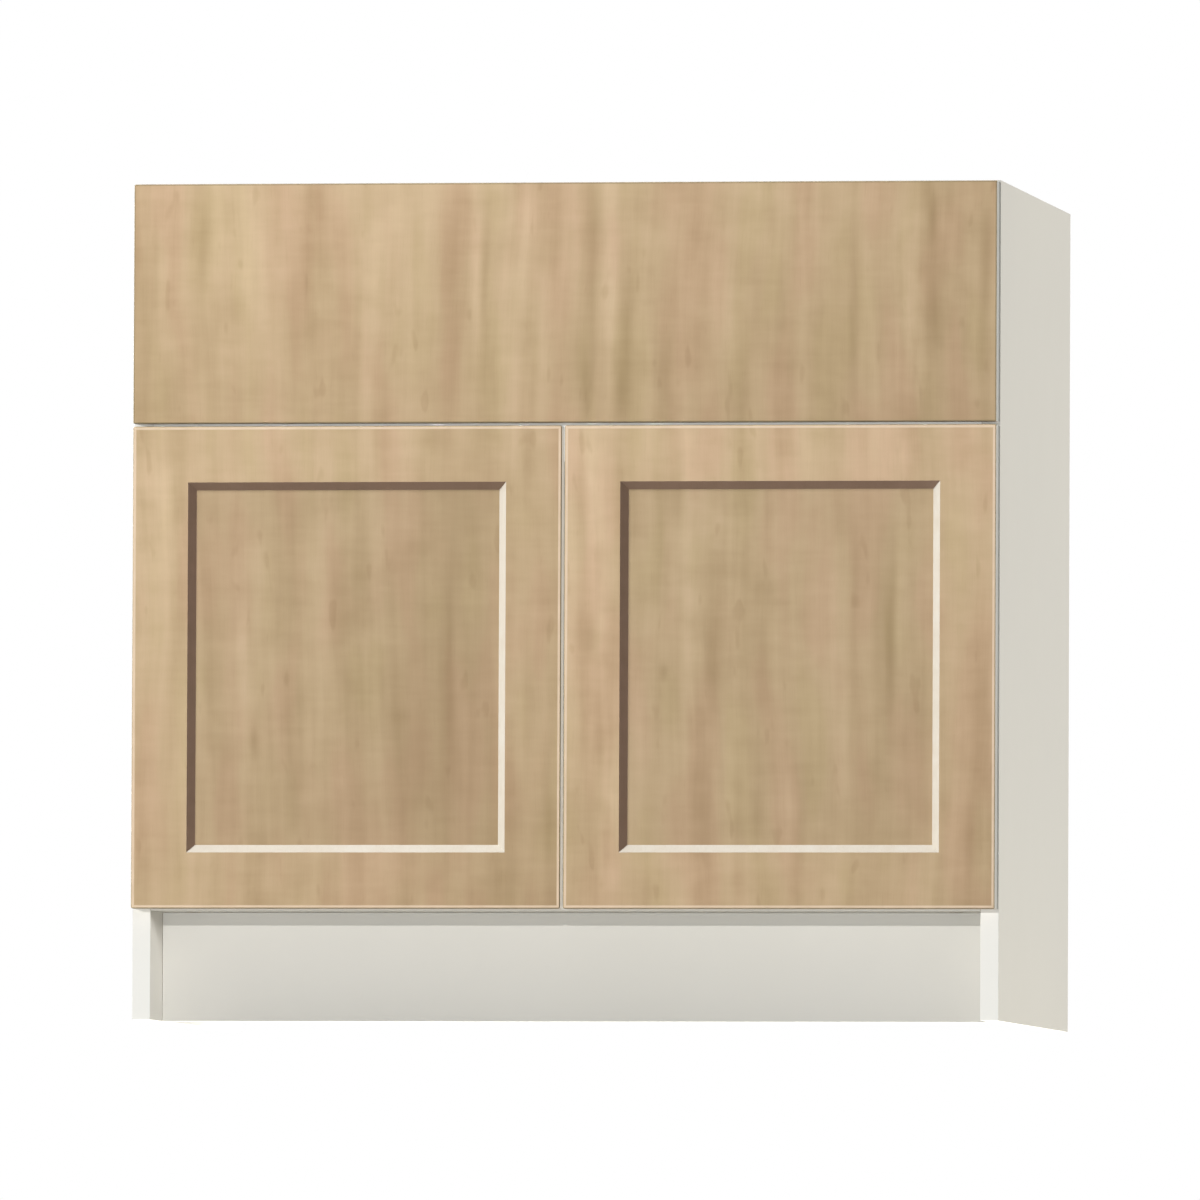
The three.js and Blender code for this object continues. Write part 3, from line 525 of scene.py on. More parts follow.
def boolean(bm, cutters, operation="DIFFERENCE"):
    """bm cut by, or joined with, each of the others; returns a new bmesh."""
    bmesh.ops.recalc_face_normals(bm, faces=bm.faces)
    me = bpy.data.meshes.new("work")
    bm.to_mesh(me)
    bm.free()
    o = bpy.data.objects.new("work", me)
    bpy.context.scene.collection.objects.link(o)
    made = []
    for c in cutters:
        k = cutter(c)
        made.append(k)
        m = o.modifiers.new("b", "BOOLEAN")
        m.operation = operation
        m.solver = "EXACT"
        m.object = k
    dg = bpy.context.evaluated_depsgraph_get()
    out = bmesh.new()
    res = bpy.data.meshes.new_from_object(o.evaluated_get(dg))
    out.from_mesh(res)
    for q in [o, *made]:
        d = q.data
        bpy.data.objects.remove(q)
        bpy.data.meshes.remove(d)
    bpy.data.meshes.remove(res)
    tiny = 0.012 if max(v.co.length for v in out.verts) > 2.5 else 0.000005
    bmesh.ops.remove_doubles(out, verts=out.verts, dist=tiny)
    bmesh.ops.dissolve_degenerate(out, edges=out.edges, dist=tiny * 0.5)
    return out


def paint(bm, rule):
    """Gives each face the material index that rule(normal, centre) returns."""
    bm.normal_update()
    for f in bm.faces:
        f.material_index = rule(f.normal, f.calc_center_median())


# ------------------------------------------------------------------ fronts


def ring(bm, x0, x1, z0, z1, inset, y, rc, n):
    """A rectangle of points, inset from the board's outline, with round corners of n + 1 points, or square if n is 0."""
    x0, x1, z0, z1 = x0 + inset, x1 - inset, z0 + inset, z1 - inset
    pts = []
    for cx, cz, t0 in ((x1 - rc, z1 - rc, 0), (x0 + rc, z1 - rc, 1), (x0 + rc, z0 + rc, 2), (x1 - rc, z0 + rc, 3)):
        if n == 0:
            sx = 1 if t0 in (0, 3) else -1
            sz = 1 if t0 in (0, 1) else -1
            pts.append((cx + sx * rc, y, cz + sz * rc))
        else:
            for i in range(n + 1):
                t = (t0 + i / n) * math.pi / 2
                pts.append((cx + rc * math.cos(t), y, cz + rc * math.sin(t)))
    return [bm.verts.new(p) for p in pts]


def bridge(bm, a, b):
    n = len(a)
    for i in range(n):
        j = (i + 1) % n
        bm.faces.new((a[i], a[j], b[j], b[i]))


def front_board(x0, x1, z0, z1, loops, recess, corner=0.0018):
    """A board from its back face forward: loops are (inset, y) pairs. With recess it has a routed centre panel with sloped walls."""
    bm = bmesh.new()
    nc = 4
    prev = None
    first = None
    for ins, y in loops:
        cur = ring(bm, x0, x1, z0, z1, ins, y, max(corner - ins * 0.5, corner * 0.4), nc)
        if prev:
            bridge(bm, prev, cur)
        else:
            first = cur
        prev = cur
    bm.faces.new(first)
    if not recess:
        bm.faces.new(prev)
        return bm
    # flat frame: from the outer edge to the square edge of the recess
    r1, r2 = 0.0005, 0.0008
    slope = math.atan2(RECESS, BEVEL_W)
    stile = STILE - recess
    steps = []
    t1 = r1 * math.tan(slope / 2)
    for i in range(4):                                  # crisp round over the top of the wall
        a = slope * i / 3
        steps.append((stile - t1 + r1 * math.sin(a), FRONT_Y + r1 * (1 - math.cos(a))))
    t2 = r2 * math.tan(slope / 2)
    for i in range(5):                                  # small cove at the foot of the wall
        a = slope * (1 - i / 4)
        steps.append((stile + BEVEL_W + t2 - r2 * math.sin(a), FRONT_Y + RECESS - r2 * (1 - math.cos(a))))
    sq = ring(bm, x0, x1, z0, z1, steps[0][0], steps[0][1], 0.0, 0)
    k = nc + 1
    for c in range(4):
        corner_run = prev[c * k:(c + 1) * k]
        for i in range(nc):
            bm.faces.new((corner_run[i], corner_run[i + 1], sq[c]))
        nxt = prev[((c + 1) % 4) * k]
        bm.faces.new((corner_run[-1], nxt, sq[(c + 1) % 4], sq[c]))
    for ins, y in steps[1:]:
        cur = ring(bm, x0, x1, z0, z1, ins, y, 0.0, 0)
        bridge(bm, sq, cur)
        sq = cur
    bm.faces.new(sq)
    return bm


def nose_loops(back_r, front_r, nb=3, nf=5, y_back=DOOR_BACK_Y, y_front=FRONT_Y):
    """(inset, y) pairs round a board's edge: a small round at the back and a nose at the front."""
    out = []
    for i in range(nb + 1):
        t = math.pi / 2 * i / nb
        out.append((back_r * (1 - math.sin(t)), y_back - back_r * (1 - math.cos(t))))
    for i in range(nf + 1):
        t = math.pi / 2 * i / nf
        out.append((front_r * (1 - math.cos(t)), y_front + front_r * (1 - math.sin(t))))
    return out


def edge_strip(x0, x1, z0, z1, thick, front, back_r, corner=0.0018):
    """The thin strip round a board's four sides: one closed ring, from behind the nose to the back face."""
    bm = bmesh.new()
    tiny = 0.0001
    loops = [(thick, front + tiny), (thick, DOOR_BACK_Y)]
    loops += [(back_r * (1 - math.sin(t)), DOOR_BACK_Y - back_r * (1 - math.cos(t))) for t in (0, math.pi / 6, math.pi / 3, math.pi / 2)]
    loops += [(0.0, front + tiny), (tiny, front), (thick - tiny, front)]
    rings = [ring(bm, x0, x1, z0, z1, ins, y, max(corner - ins * 0.5, corner * 0.4), 4) for ins, y in loops]
    for a, b in zip(rings, rings[1:] + rings[:1]):
        bridge(bm, a, b)
    return bm


STRIP = 0.0006
NOSE = 0.0012


def front_loops(nose=NOSE):
    """A front's side: stepped in behind the nose to take the edge strip."""
    out = [(STRIP, DOOR_BACK_Y), (STRIP, FRONT_Y + nose + 0.0002), (0.0, FRONT_Y + nose + 0.0002)]
    for i in range(6):
        t = math.pi / 2 * i / 5
        out.append((nose * (1 - math.cos(t)), FRONT_Y + nose * (1 - math.sin(t))))
    return out


FALSE_X = (-SIDE_X + REVEAL, SIDE_X - REVEAL)
bm = front_board(*FALSE_X, *FALSE_Z, front_loops(0.0008), 0, corner=0.0010)
FRONT_SCREWS = [(-0.300, 0.804), (0.300, 0.804), (-0.300, 0.642), (0.300, 0.642)]
bm = boolean(bm, [rod("y", (x, DOOR_BACK_Y - 0.0125, z), 0.02, 0.0022, 20) for x, z in FRONT_SCREWS])
paint(bm, lambda nn, c: 1 if nn.y > 0.9 and c.y > DOOR_BACK_Y - 0.0003 else 0)
make("false_front_board", bm, [M["oak_false"], M["white_in"]], "carcass", ["false_front"], 30)
bm = edge_strip(*FALSE_X, *FALSE_Z, STRIP - 0.00002, FRONT_Y + 0.0008 + 0.00022, 0.0004, corner=0.0010)
make("false_front_edge_strip", bm, [M["edge"]], "carcass", ["false_front"], 24)

for side, s in (("left", -1), ("right", 1)):
    x0, x1 = DOOR_X[side]
    bm = front_board(x0, x1, *DOOR_Z, front_loops(), 1e-9)
    cups = [rod("y", (s * (SIDE_X - CUP_U), DOOR_BACK_Y - 0.0126, z), 0.02, 0.0175, 72) for z in HINGE_Z]
    bm = boolean(bm, cups)

    def door_paint(nn, c):
        if nn.y > 0.9 and c.y > DOOR_BACK_Y - 0.0003:
            return 1
        in_bore = min((Vector((c.x, c.z)) - Vector((s * (SIDE_X - CUP_U), z))).length for z in HINGE_Z) < 0.0178 and c.y > DOOR_BACK_Y - 0.0130
        if in_bore:
            return 2
        inside = x0 + STILE - 0.0006 < c.x < x1 - STILE + 0.0006 and DOOR_Z[0] + STILE - 0.0006 < c.z < DOOR_Z[1] - STILE + 0.0006
        if inside and nn.y < 0 and abs(nn.x) + abs(nn.z) > 0.3:
            # slopes facing left or up take the painted-highlight foil, those facing right or down the painted-shade
            # foil
            return 3 if nn.x < -0.3 or nn.z > 0.3 else 4
        return 0

    paint(bm, door_paint)
    make(f"{side}_door_board", bm, [M[f"oak_{side}"], M["white_in"], M["board"], M["slope_painted_highlight"], M["slope_painted_shade"]], f"{side}_door", [f"{side}_door"], 24)
    bm = edge_strip(x0, x1, *DOOR_Z, STRIP - 0.00002, FRONT_Y + NOSE + 0.00022, 0.0004)
    make(f"{side}_door_edge_strip", bm, [M["edge"]], f"{side}_door", [f"{side}_door"], 24)

# ------------------------------------------------------------------ solids in millimetres

TAU = 2 * math.pi


def prism(axis, pts, c0, c1, bm=None):
    """A flat outline raised along an axis: (x, y) along z, (x, z) along y, (y, z) along x."""
    bm = bm or bmesh.new()

    def at(a, b, c):
        return {"z": (a, b, c), "y": (a, c, b), "x": (c, a, b)}[axis]

    low = [bm.verts.new(at(a, b, c0)) for a, b in pts]
    top = [bm.verts.new(at(a, b, c1)) for a, b in pts]
    bm.faces.new(low)
    bm.faces.new(top)
    bridge(bm, low, top)
    bmesh.ops.recalc_face_normals(bm, faces=bm.faces)
    return bm


def disc(c, r, n=32):
    return [(c[0] + r * math.cos(TAU * i / n), c[1] + r * math.sin(TAU * i / n)) for i in range(n)]


def round_bar(axis, a, b, c0, c1, r, n=32, r2=None):
    r2 = r if r2 is None else r2
    bm = bmesh.new()

    def at(u, v, c):
        return {"z": (u, v, c), "y": (u, c, v), "x": (c, u, v)}[axis]

    low = [bm.verts.new(at(u, v, c0)) for u, v in disc((a, b), r, n)]
    top = [bm.verts.new(at(u, v, c1)) for u, v in disc((a, b), r2, n)]
    bm.faces.new(low)
    bm.faces.new(top)
    bridge(bm, low, top)
    bmesh.ops.recalc_face_normals(bm, faces=bm.faces)
    return bm


def block(x0, x1, y0, y1, z0, z1):
    return prism("z", [(x0, y0), (x1, y0), (x1, y1), (x0, y1)], z0, z1)


def round_rect(a0, a1, b0, b1, r, n=6):
    out = []
    for ca, cb, t0 in ((a1 - r, b1 - r, 0), (a0 + r, b1 - r, 1), (a0 + r, b0 + r, 2), (a1 - r, b0 + r, 3)):
        for i in range(n + 1):
            t = (t0 + i / n) * math.pi / 2
            out.append((ca + r * math.cos(t), cb + r * math.sin(t)))
    return out


def hull2(points):
    p = sorted(points)

    def half(seq):
        out = []
        for q in seq:
            while len(out) > 1 and (out[-1][0] - out[-2][0]) * (q[1] - out[-2][1]) - (out[-1][1] - out[-2][1]) * (q[0] - out[-2][0]) <= 1e-9:
                out.pop()
            out.append(q)
        out.pop()
        return out

    return half(p) + half(p[::-1])


def smooth_path(points, n=6):
    """A rounded run through the points of a bent link (Catmull-Rom)."""
    p = [points[0], *points, points[-1]]
    out = []
    for i in range(1, len(p) - 2):
        for k in range(n):
            t = k / n
            out.append(tuple(0.5 * (2 * p[i][d] + (p[i + 1][d] - p[i - 1][d]) * t
                                    + (2 * p[i - 1][d] - 5 * p[i][d] + 4 * p[i + 1][d] - p[i + 2][d]) * t * t
                                    + (3 * p[i][d] - p[i - 1][d] - 3 * p[i + 1][d] + p[i + 2][d]) * t ** 3) for d in (0, 1)))
    out.append(points[-1])
    return out


def merged(first, rest=(), cuts=()):
    bm = boolean(first, rest, "UNION") if rest else first
    return boolean(bm, cuts) if cuts else bm


def cross_recess(axis, a, b, face, out, size, depth):
    """The two crossed tapering slots of a screw head; out is the direction the head faces, +1 or -1."""
    made = []
    for turn in (0, 1):
        w0, w1 = size * 0.16, size * 0.30
        pts = []
        for half, c in ((size, face + out * 0.4), (size * 0.45, face - out * depth)):
            wide = w1 if c == face + out * 0.4 else w0
            pts.append((half, wide, c))
        bm = bmesh.new()
        rows = []
        for half, wide, c in pts:
            row = []
            for du, dv in ((-half, -wide), (half, -wide), (half, wide), (-half, wide)):
                if turn:
                    du, dv = dv, du
                row.append(bm.verts.new({"z": (a + du, b + dv, c), "y": (a + du, c, b + dv), "x": (c, a + du, b + dv)}[axis]))
            rows.append(row)
        bm.faces.new(rows[0])
        bm.faces.new(rows[1])
        bridge(bm, rows[0], rows[1])
        bmesh.ops.recalc_face_normals(bm, faces=bm.faces)
        made.append(bm)
    return made


def put(name, bm, offset, mats, body, node, bevel=0.0, angle=32, rule=None, mirror=False, seg=2):
    """Places a millimetre solid in the row frame and hands it its body and CAD node."""
    bm = bm.copy()
    if mirror:
        bm.transform(Matrix.Scale(-1, 4, (1, 0, 0)))
        bmesh.ops.reverse_faces(bm, faces=bm.faces)
    if rule:
        paint(bm, rule)
    bm.transform(Matrix.Translation(offset) @ Matrix.Scale(MM, 4))
    me = bpy.data.meshes.new(name)
    bmesh.ops.recalc_face_normals(bm, faces=bm.faces)
    bm.to_mesh(me)
    bm.free()
    o = bpy.data.objects.new(name, me)
    bpy.context.scene.collection.objects.link(o)
    for m in mats:
        me.materials.append(m)
    me.shade_smooth()
    if bevel:
        m = o.modifiers.new("edges", "BEVEL")
        m.width = bevel * MM
        m.segments = seg
        m.limit_method = "ANGLE"
        m.angle_limit = math.radians(30)
        m.use_clamp_overlap = True
        m.miter_outer = "MITER_ARC" if seg > 1 else "MITER_SHARP"
        m = o.modifiers.new("weld", "WELD")
        m.merge_threshold = 0.000003
    me.set_sharp_from_angle(angle=math.radians(angle if not bevel else 60))
    w = o.modifiers.new("weighted_normals", "WEIGHTED_NORMAL")
    w.keep_sharp = True
    w.weight = 70
    attach(o, body, [node])
    return o


# ------------------------------------------------------------------ carcass panels, millimetres

SX, IX, CY, RY = SIDE_X * 1000, INNER_X * 1000, CARCASS_Y * 1000, REAR_Y * 1000
FBY = DOOR_BACK_Y * 1000
B, TOE, HT = 19.05, 114.3, 876.3
RAIL_X = IX - 0.2
BACK0, BACKT = 279.4, 6.35
CAM_X = IX - 0.2 - 34
CAMS = [("bottom_front", -215, TOE + 9.5, "z", TOE, 1), ("bottom_rear", 205, TOE + 9.5, "z", TOE, 1),
        ("front_top_rail", CY + 9.5, 838, "y", CY + B, -1), ("mid_rail", CY + 9.5, 622.3, "y", CY + B, -1),
        ("rear_top_rail", RY - 9.5, 825.5, "y", RY, -1), ("rear_bottom_rail", RY - 9.5, 165.1, "y", RY, -1)]


def panel(name, lo, hi, cuts, faces, mats=("white", "band", "board"), r=0.35):
    """A board: faces maps a direction such as "-y" to a material index; anything inside a cut is raw board."""
    bm = box_bm([v * MM for v in lo], [v * MM for v in hi], r * MM, 2)
    bm.transform(Matrix.Scale(1000, 4))
    if cuts:
        bm = boolean(bm, cuts)

    def rule(nn, c):
        for i, k in enumerate("xyz"):
            inside = [j for j in range(3) if j != i]
            for sign, face in ((1, hi[i]), (-1, lo[i])):
                if nn[i] * sign > 0.6 and abs(c[i] - face) < 0.45:
                    return faces.get(("+" if sign > 0 else "-") + k, 0)
        for i, k in enumerate("xyz"):
            for sign, face in ((1, hi[i]), (-1, lo[i])):
                if abs(c[i] - face) < 0.4 and abs(nn[i]) > 0.2:
                    return faces.get(("+" if sign > 0 else "-") + k, 0)
        return 2

    o = put(f"{name}_board", bm, (0, 0, 0), [M[m] for m in mats], "carcass", name, rule=rule, angle=40)
    bm.free()
    return o


def cam_bore(s, y, z, axis, face, way):
    c0, c1 = sorted((face + way * 12.6, face - way * 1))
    pocket = round_bar(axis, s * CAM_X, y if axis == "z" else z, c0, c1, 7.6, 40)
    x0, x1 = sorted((s * CAM_X, s * (IX + 1)))
    return [pocket, round_bar("x", y, z, x0, x1, 3.5, 20)]


for side, s in (("left", -1), ("right", 1)):
    x0, x1 = sorted((s * SX, s * IX))
    g0, g1 = sorted((s * IX + s * 8, s * (IX - 1)))
    cuts = [block(g0, g1, BACK0 - 0.3, BACK0 + BACKT + 0.3, TOE - 0.2, HT + 1)]
    for _, y, z, *_ in CAMS:
        b0, b1 = sorted((s * (IX - 1), s * (IX + 11)))
        cuts.append(round_bar("x", y, z, b0, b1, 2.8, 20))
    for hz in HINGE_Z:
        for w in (-16, 16):
            b0, b1 = sorted((s * (IX - 1), s * (IX + 12)))
            cuts.append(round_bar("x", FBY + 39, hz * 1000 + w, b0, b1, 2.7, 20))
    panel(f"{side}_side_panel", (x0, CY, 0), (x1, RY, HT), cuts, {"-y": 1, "+z": 2, "-z": 1, "+y": 2})


def rail(name, y0, y1, z0, z1, faces, holes=()):
    cuts = [c for n, y, z, ax, face, way in CAMS if n.startswith(name) or (name == "bottom_panel" and n.startswith("bottom_"))
            for s in (-1, 1) for c in cam_bore(s, y, z, ax, face, way)]
    panel(name, (-RAIL_X, y0, z0), (RAIL_X, y1, z1), cuts + list(holes), faces)


SCREWS = [(-300, 804), (300, 804), (-300, 642), (300, 642)]
holes = [round_bar("y", x, z, CY - 1, CY + B + 1, 2.5, 20) for x, z in SCREWS]
ENDS = {"-x": 2, "+x": 2}
rail("bottom_panel", CY, BACK0 - 0.2, TOE, TOE + B, {**ENDS, "-y": 1, "+y": 2})
rail("front_top_rail", CY, CY + B, HT - 101.6, HT, {**ENDS, "-y": 1, "+z": 2, "-z": 1}, holes[:2])
rail("mid_rail", CY, CY + B, 584.2, 660.4, {**ENDS, "-y": 1, "+z": 2, "-z": 1}, holes[2:])
rail("rear_top_rail", BACK0 + BACKT + 0.2, RY, HT - 101.6, HT, {**ENDS, "+z": 2, "-z": 2})
rail("rear_bottom_rail", BACK0 + BACKT + 0.2, RY, TOE, TOE + 101.6, {**ENDS, "+z": 2, "-z": 2})
panel("back_panel", (-(IX + 7.7), BACK0, TOE), (IX + 7.7, BACK0 + BACKT, HT), [],
      {"+y": 1, "+z": 2, "-z": 2, "-x": 2, "+x": 2}, ("white", "rear", "rear"), 0.2)
panel("toe_kick_board", (-RAIL_X, CY + 76.2, 0), (RAIL_X, CY + 76.2 + 15.9, TOE - 0.2), [], {**ENDS, "+z": 2, "-z": 1, "+y": 0})

# ------------------------------------------------------------------ cams, braces, screws, spacers, bumpers


def cam_fitting(axis, way, s):
    """Die-cast cam in its bore with the neck and thread of its bolt."""
    t0 = 0.2 if way > 0 else -12.4
    t1 = t0 + 12.2
    face = t0 if way > 0 else t1
    body = round_bar(axis, 0, 0, t0, t1, 7.35, 48)
    # relief round the rim and a stepped waist, as cast
    waist = merged(round_bar(axis, 0, 0, t0 + 3.2, t1 - 2.4, 9, 48), (), [round_bar(axis, 0, 0, t0 + 2.2, t1 - 1.4, 6.5, 48)])
    y, z = (0, 9.5 * way) if axis == "z" else (9.5 * way, 0)
    n0, n1 = sorted((s * 4, s * 33.6))
    h0, h1 = sorted((s * 33, s * 44.2))
    bolt = [round_bar("x", y, z, n0, n1, 3.1, 24)]
    thread = bmesh.new()
    turns = 10
    rows = []
    step = (h1 - h0) / (turns * 2)
    for i in range(turns * 2 + 1):
        r = 2.3 if i % 2 else 1.8
        if i in (0, turns * 2):
            r = 1.7
        c = h0 + step * i
        rows.append([thread.verts.new((c, y + r * math.cos(TAU * k / 20), z + r * math.sin(TAU * k / 20))) for k in range(20)])
    thread.faces.new(rows[0])
    thread.faces.new(rows[-1])
    for r0, r1 in zip(rows[:-1], rows[1:]):
        bridge(thread, r0, r1)
    bmesh.ops.recalc_face_normals(thread, faces=thread.faces)
    cuts = cross_recess(axis, 0, 0, face, -way, 4.6, 2.6)
    # the pointer that shows the open side
    c0, c1 = sorted((face - way * 1, face + way * 0.5))
    tri = [(s * 5.0, -1.1), (s * 6.7, 0.0), (s * 5.0, 1.1)]
    cuts.append(prism(axis, tri, c0, c1))
    return merged(merged(body, (), [waist]), bolt + [thread], cuts)


CAM_SHAPES = {}
for side, s in (("left", -1), ("right", 1)):
    for name, y, z, axis, face, way in CAMS:
        key = (axis, way)
        if key not in CAM_SHAPES:
            CAM_SHAPES[key] = cam_fitting(axis, way, 1)
        at = (s * CAM_X * MM, (y if axis == "z" else face) * MM, (face if axis == "z" else z) * MM)
        put(f"{side}_{name}_cam_fitting", CAM_SHAPES[key], at, [M["zinc"]], "carcass", f"{side}_{name}_cam", 0.18, mirror=s < 0)


def corner_brace():
    """Moulded brace for the corner at +x, +y from its origin."""
    plate = prism("z", [(0.2, 0.2), (72, 0.2), (72, 7), (7, 72), (0.2, 72)], -3, 0)
    wall_a = block(0.2, 72, 0.2, 3.2, -26, -2.5)
    wall_b = block(0.2, 3.2, 0.2, 72, -26, -2.5)
    d = 1.3
    rib = prism("z", [(2 - d, 2 + d), (2 + d, 2 - d), (37 + d, 37 - d), (37 - d, 37 + d)], -14, -2.5)
    boss = round_bar("z", 27, 27, -14, -2.5, 6.5, 40)
    bm = merged(plate, [wall_a, wall_b, rib, boss])
    cuts = [round_bar("z", 27, 27, -15, 1, 2.6, 32), round_bar("z", 27, 27, -0.8, 0.2, 2.6, 32, 3.6)]
    for c in (20, 52):
        cuts.append(round_bar("y", c, -17, -1, 5, 2.0, 24))
        cuts.append(round_bar("x", c, -17, -1, 5, 2.0, 24))
    return merged(bm, (), cuts)


BRACE = corner_brace()
for nx, sx in (("left", 1), ("right", -1)):
    for ny, sy, y in (("front", 1, CY + B), ("rear", -1, BACK0)):
        bm = BRACE.copy()
        bm.transform(Matrix.Diagonal((sx, sy, 1, 1)))
        if sx * sy < 0:
            bmesh.ops.reverse_faces(bm, faces=bm.faces)
        put(f"{nx}_{ny}_corner_brace_moulding", bm, (-sx * IX * MM, y * MM, HT * MM), [M["plastic"]], "carcass",
            f"{nx}_{ny}_corner_brace", 0.35)
        bm.free()


def pan_screw():
    """Pan-head screw along y: the head at y 0.2 to 2.6, the tip towards -y."""
    prof = [(0, -32.4), (0.5, -31.6), (1.2, -29.6), (1.45, -28.4)]
    y = -28.4
    while y < -2.2:
        prof += [(1.5, y + 0.25), (1.9, y + 0.55), (1.9, y + 0.75), (1.5, y + 1.05)]
        y += 1.3
    prof += [(1.9, -0.6), (1.9, 0.21), (4.3, 0.21), (4.4, 0.45), (4.3, 1.1), (3.9, 1.75), (3.2, 2.25), (2.2, 2.5), (0, 2.6)]
    bm = lathe_bm(prof, 28)
    bm.transform(Matrix.Rotation(-math.pi / 2, 4, "X"))
    bmesh.ops.recalc_face_normals(bm, faces=bm.faces)
    return merged(bm, (), cross_recess("y", 0, 0, 2.6, 1, 2.3, 1.5))


SCREW = pan_screw()
WASHER = merged(round_bar("y", 0, 0, -1.8, -0.2, 7.5, 40), (), [round_bar("y", 0, 0, -3, 1, 2.4, 28)])
for i, (x, z) in enumerate(SCREWS):
    nm = f"{'left' if x < 0 else 'right'}_{'upper' if i < 2 else 'lower'}"
    put(f"{nm}_front_screw_body", SCREW, (x * MM, (CY + B) * MM, z * MM), [M["zinc"]], "carcass", f"{nm}_false_front_screw", 0, 30)
    put(f"{nm}_front_spacer_washer", WASHER, (x * MM, CY * MM, z * MM), [M["plastic"]], "carcass", f"{nm}_false_front_spacer", 0.2)

for side, s in (("left", -1), ("right", 1)):
    for level, z in (("upper", 604), ("lower", 124.8)):
        prof = [(0, 0.1), (4.0, 0.1), (4.2, 0.22), (4.15, 0.5), (3.9, 0.9), (3.4, 1.25), (2.6, 1.5), (1.5, 1.65), (0, 1.7)]
        bm = lathe_bm(prof, 36)
        bm.transform(Matrix.Rotation(-math.pi / 2, 4, "X"))
        put(f"{side}_{level}_bumper_dome", bm, (s * 24 * MM, FBY * MM, z * MM), [M["bumper"]], f"{side}_door",
            f"{side}_{level}_door_bumper", 0, 40)
        bm.free()

# ------------------------------------------------------------------ concealed hinges, local millimetres, u along +x, v along -y

PA, PB, PC, PD = (35.736, -7.994), (37.958, -2.836), (15.347, 3.518), (17.470, 3.350)


def uv(list_):
    return [(u, -v) for u, v in list_]


def link(path, half, eyes, holes, w0, w1):
    """A stamped link: a band of even width along the path, with a round eye at each end."""
    run = [Vector(p) for p in smooth_path(path)]
    (first, r0), (last, r1) = eyes
    length = [0.0]
    for p, q in zip(run[:-1], run[1:]):
        length.append(length[-1] + (q - p).length)

    def eye(centre, r, toward):
        """The far side of an eye, from one edge of the band round to the other."""
        lead = math.atan2(*(toward - centre).normalized().yx)
        gap = math.asin(half / r)
        n = 26
        return [centre + r * Vector((math.cos(t), math.sin(t))) for t in
                (lead + gap + (TAU - 2 * gap) * i / n for i in range(n + 1))]

    s0, s1 = math.sqrt(r0 * r0 - half * half), math.sqrt(r1 * r1 - half * half)
    left, right_ = [], []
    for i in range(1, len(run) - 1):
        if length[i] < s0 + 0.35 or length[-1] - length[i] < s1 + 0.35:
            continue
        t = (run[i + 1] - run[i - 1]).normalized()
        side_way = Vector((-t.y, t.x)) * half
        left.append(run[i] + side_way)
        right_.append(run[i] - side_way)
    # round the first eye from the left edge to the right, out along the right edge, round the last eye, and back
    outline = eye(Vector(first), r0, run[1]) + right_ + eye(Vector(last), r1, run[-2]) + left[::-1]
    body = prism("z", [(p.x, -p.y) for p in outline], w0, w1)
    cuts = [prism("z", disc((u, -v), r, 28), w0 - 1, w1 + 1) for (u, v), r in holes]
    return merged(body, (), cuts)


def hinge_arm():
    top = 38.9
    side_a = uv([(33.4, -7.6), (37.9, -7.6), (top, -12), (top, -68), (37, -70), (27, -70), (25, -66), (25, -22), (30.5, -13)])
    ears = hull2(disc((PB[0], -PB[1]), 1.8, 24) + disc((PA[0], -PA[1]), 2.4, 24))
    first = prism("z", side_a, 7.0, 8.2)
    rest = [prism("z", ears, 7.0, 8.2), prism("z", side_a, -8.2, -7.0), prism("z", ears, -8.2, -7.0),
            prism("z", uv([(top - 1.2, -12), (top, -12), (top, -69), (top - 1.2, -69)]), -8.2, 8.2),
            prism("z", disc((PA[0], -PA[1]), 0.95, 24), 0.3, 7.5), prism("z", disc((PB[0], -PB[1]), 0.95, 24), -7.5, -0.3)]
    # riveted pin ends on the outside of the cheeks
    rest += [round_bar("z", PA[0], -PA[1], 8.1, 8.55, 1.5, 24, 1.1), round_bar("z", PB[0], -PB[1], -8.55, -8.1, 1.1, 24, 1.5)]
    bm = merged(first, rest)
    # long slots either side, and the openings round the two screws
    cuts = [prism("x", round_rect(14.5, 22.5, -1.9, 1.9, 1.85), top - 3, top + 1)]
    for z0, z1 in ((6, 9), (-9, -6)):
        cuts.append(prism("z", uv(round_rect(29.5, 34.5, -49, -34, 2.4)), z0, z1))
    return merged(bm, (), cuts)


def arm_screws():
    top = 38.9
    made = None
    for v, r, q in ((-58, 3.6, 2.4), (-27, 3.2, 2.1)):
        head = merged(round_bar("x", -v, 0, top - 0.35, top + 1.3, r, 36), [round_bar("x", -v, 0, 31.5, top - 0.3, 2.0, 24)],
                      cross_recess("x", -v, 0, top + 1.3, 1, q, 1.0))
        made = merged(head, [made]) if made else head
    return made


def hinge_plate():
    u0 = B + 0.2
    base = prism("x", round_rect(14, 63, -9.5, 9.5, 3), u0, u0 + 2)
    rest = [prism("x", round_rect(31, 47, -24.5, 24.5, 7.5), u0, u0 + 2), prism("x", round_rect(18, 61, -6.4, 6.4, 2), u0 + 1, 37.1)]
    cuts = [round_bar("x", -v, 0, 30.5, 38, 2.5, 28) for v in (-58, -27)]
    # cast recesses in the flanks of the rail
    for z0, z1 in ((5.2, 8), (-8, -5.2)):
        cuts.append(prism("z", [(u, y) for u, y in round_rect(24.5, 33.5, 32, 46, 1.5)], z0, z1))
    return merged(base, rest, cuts)


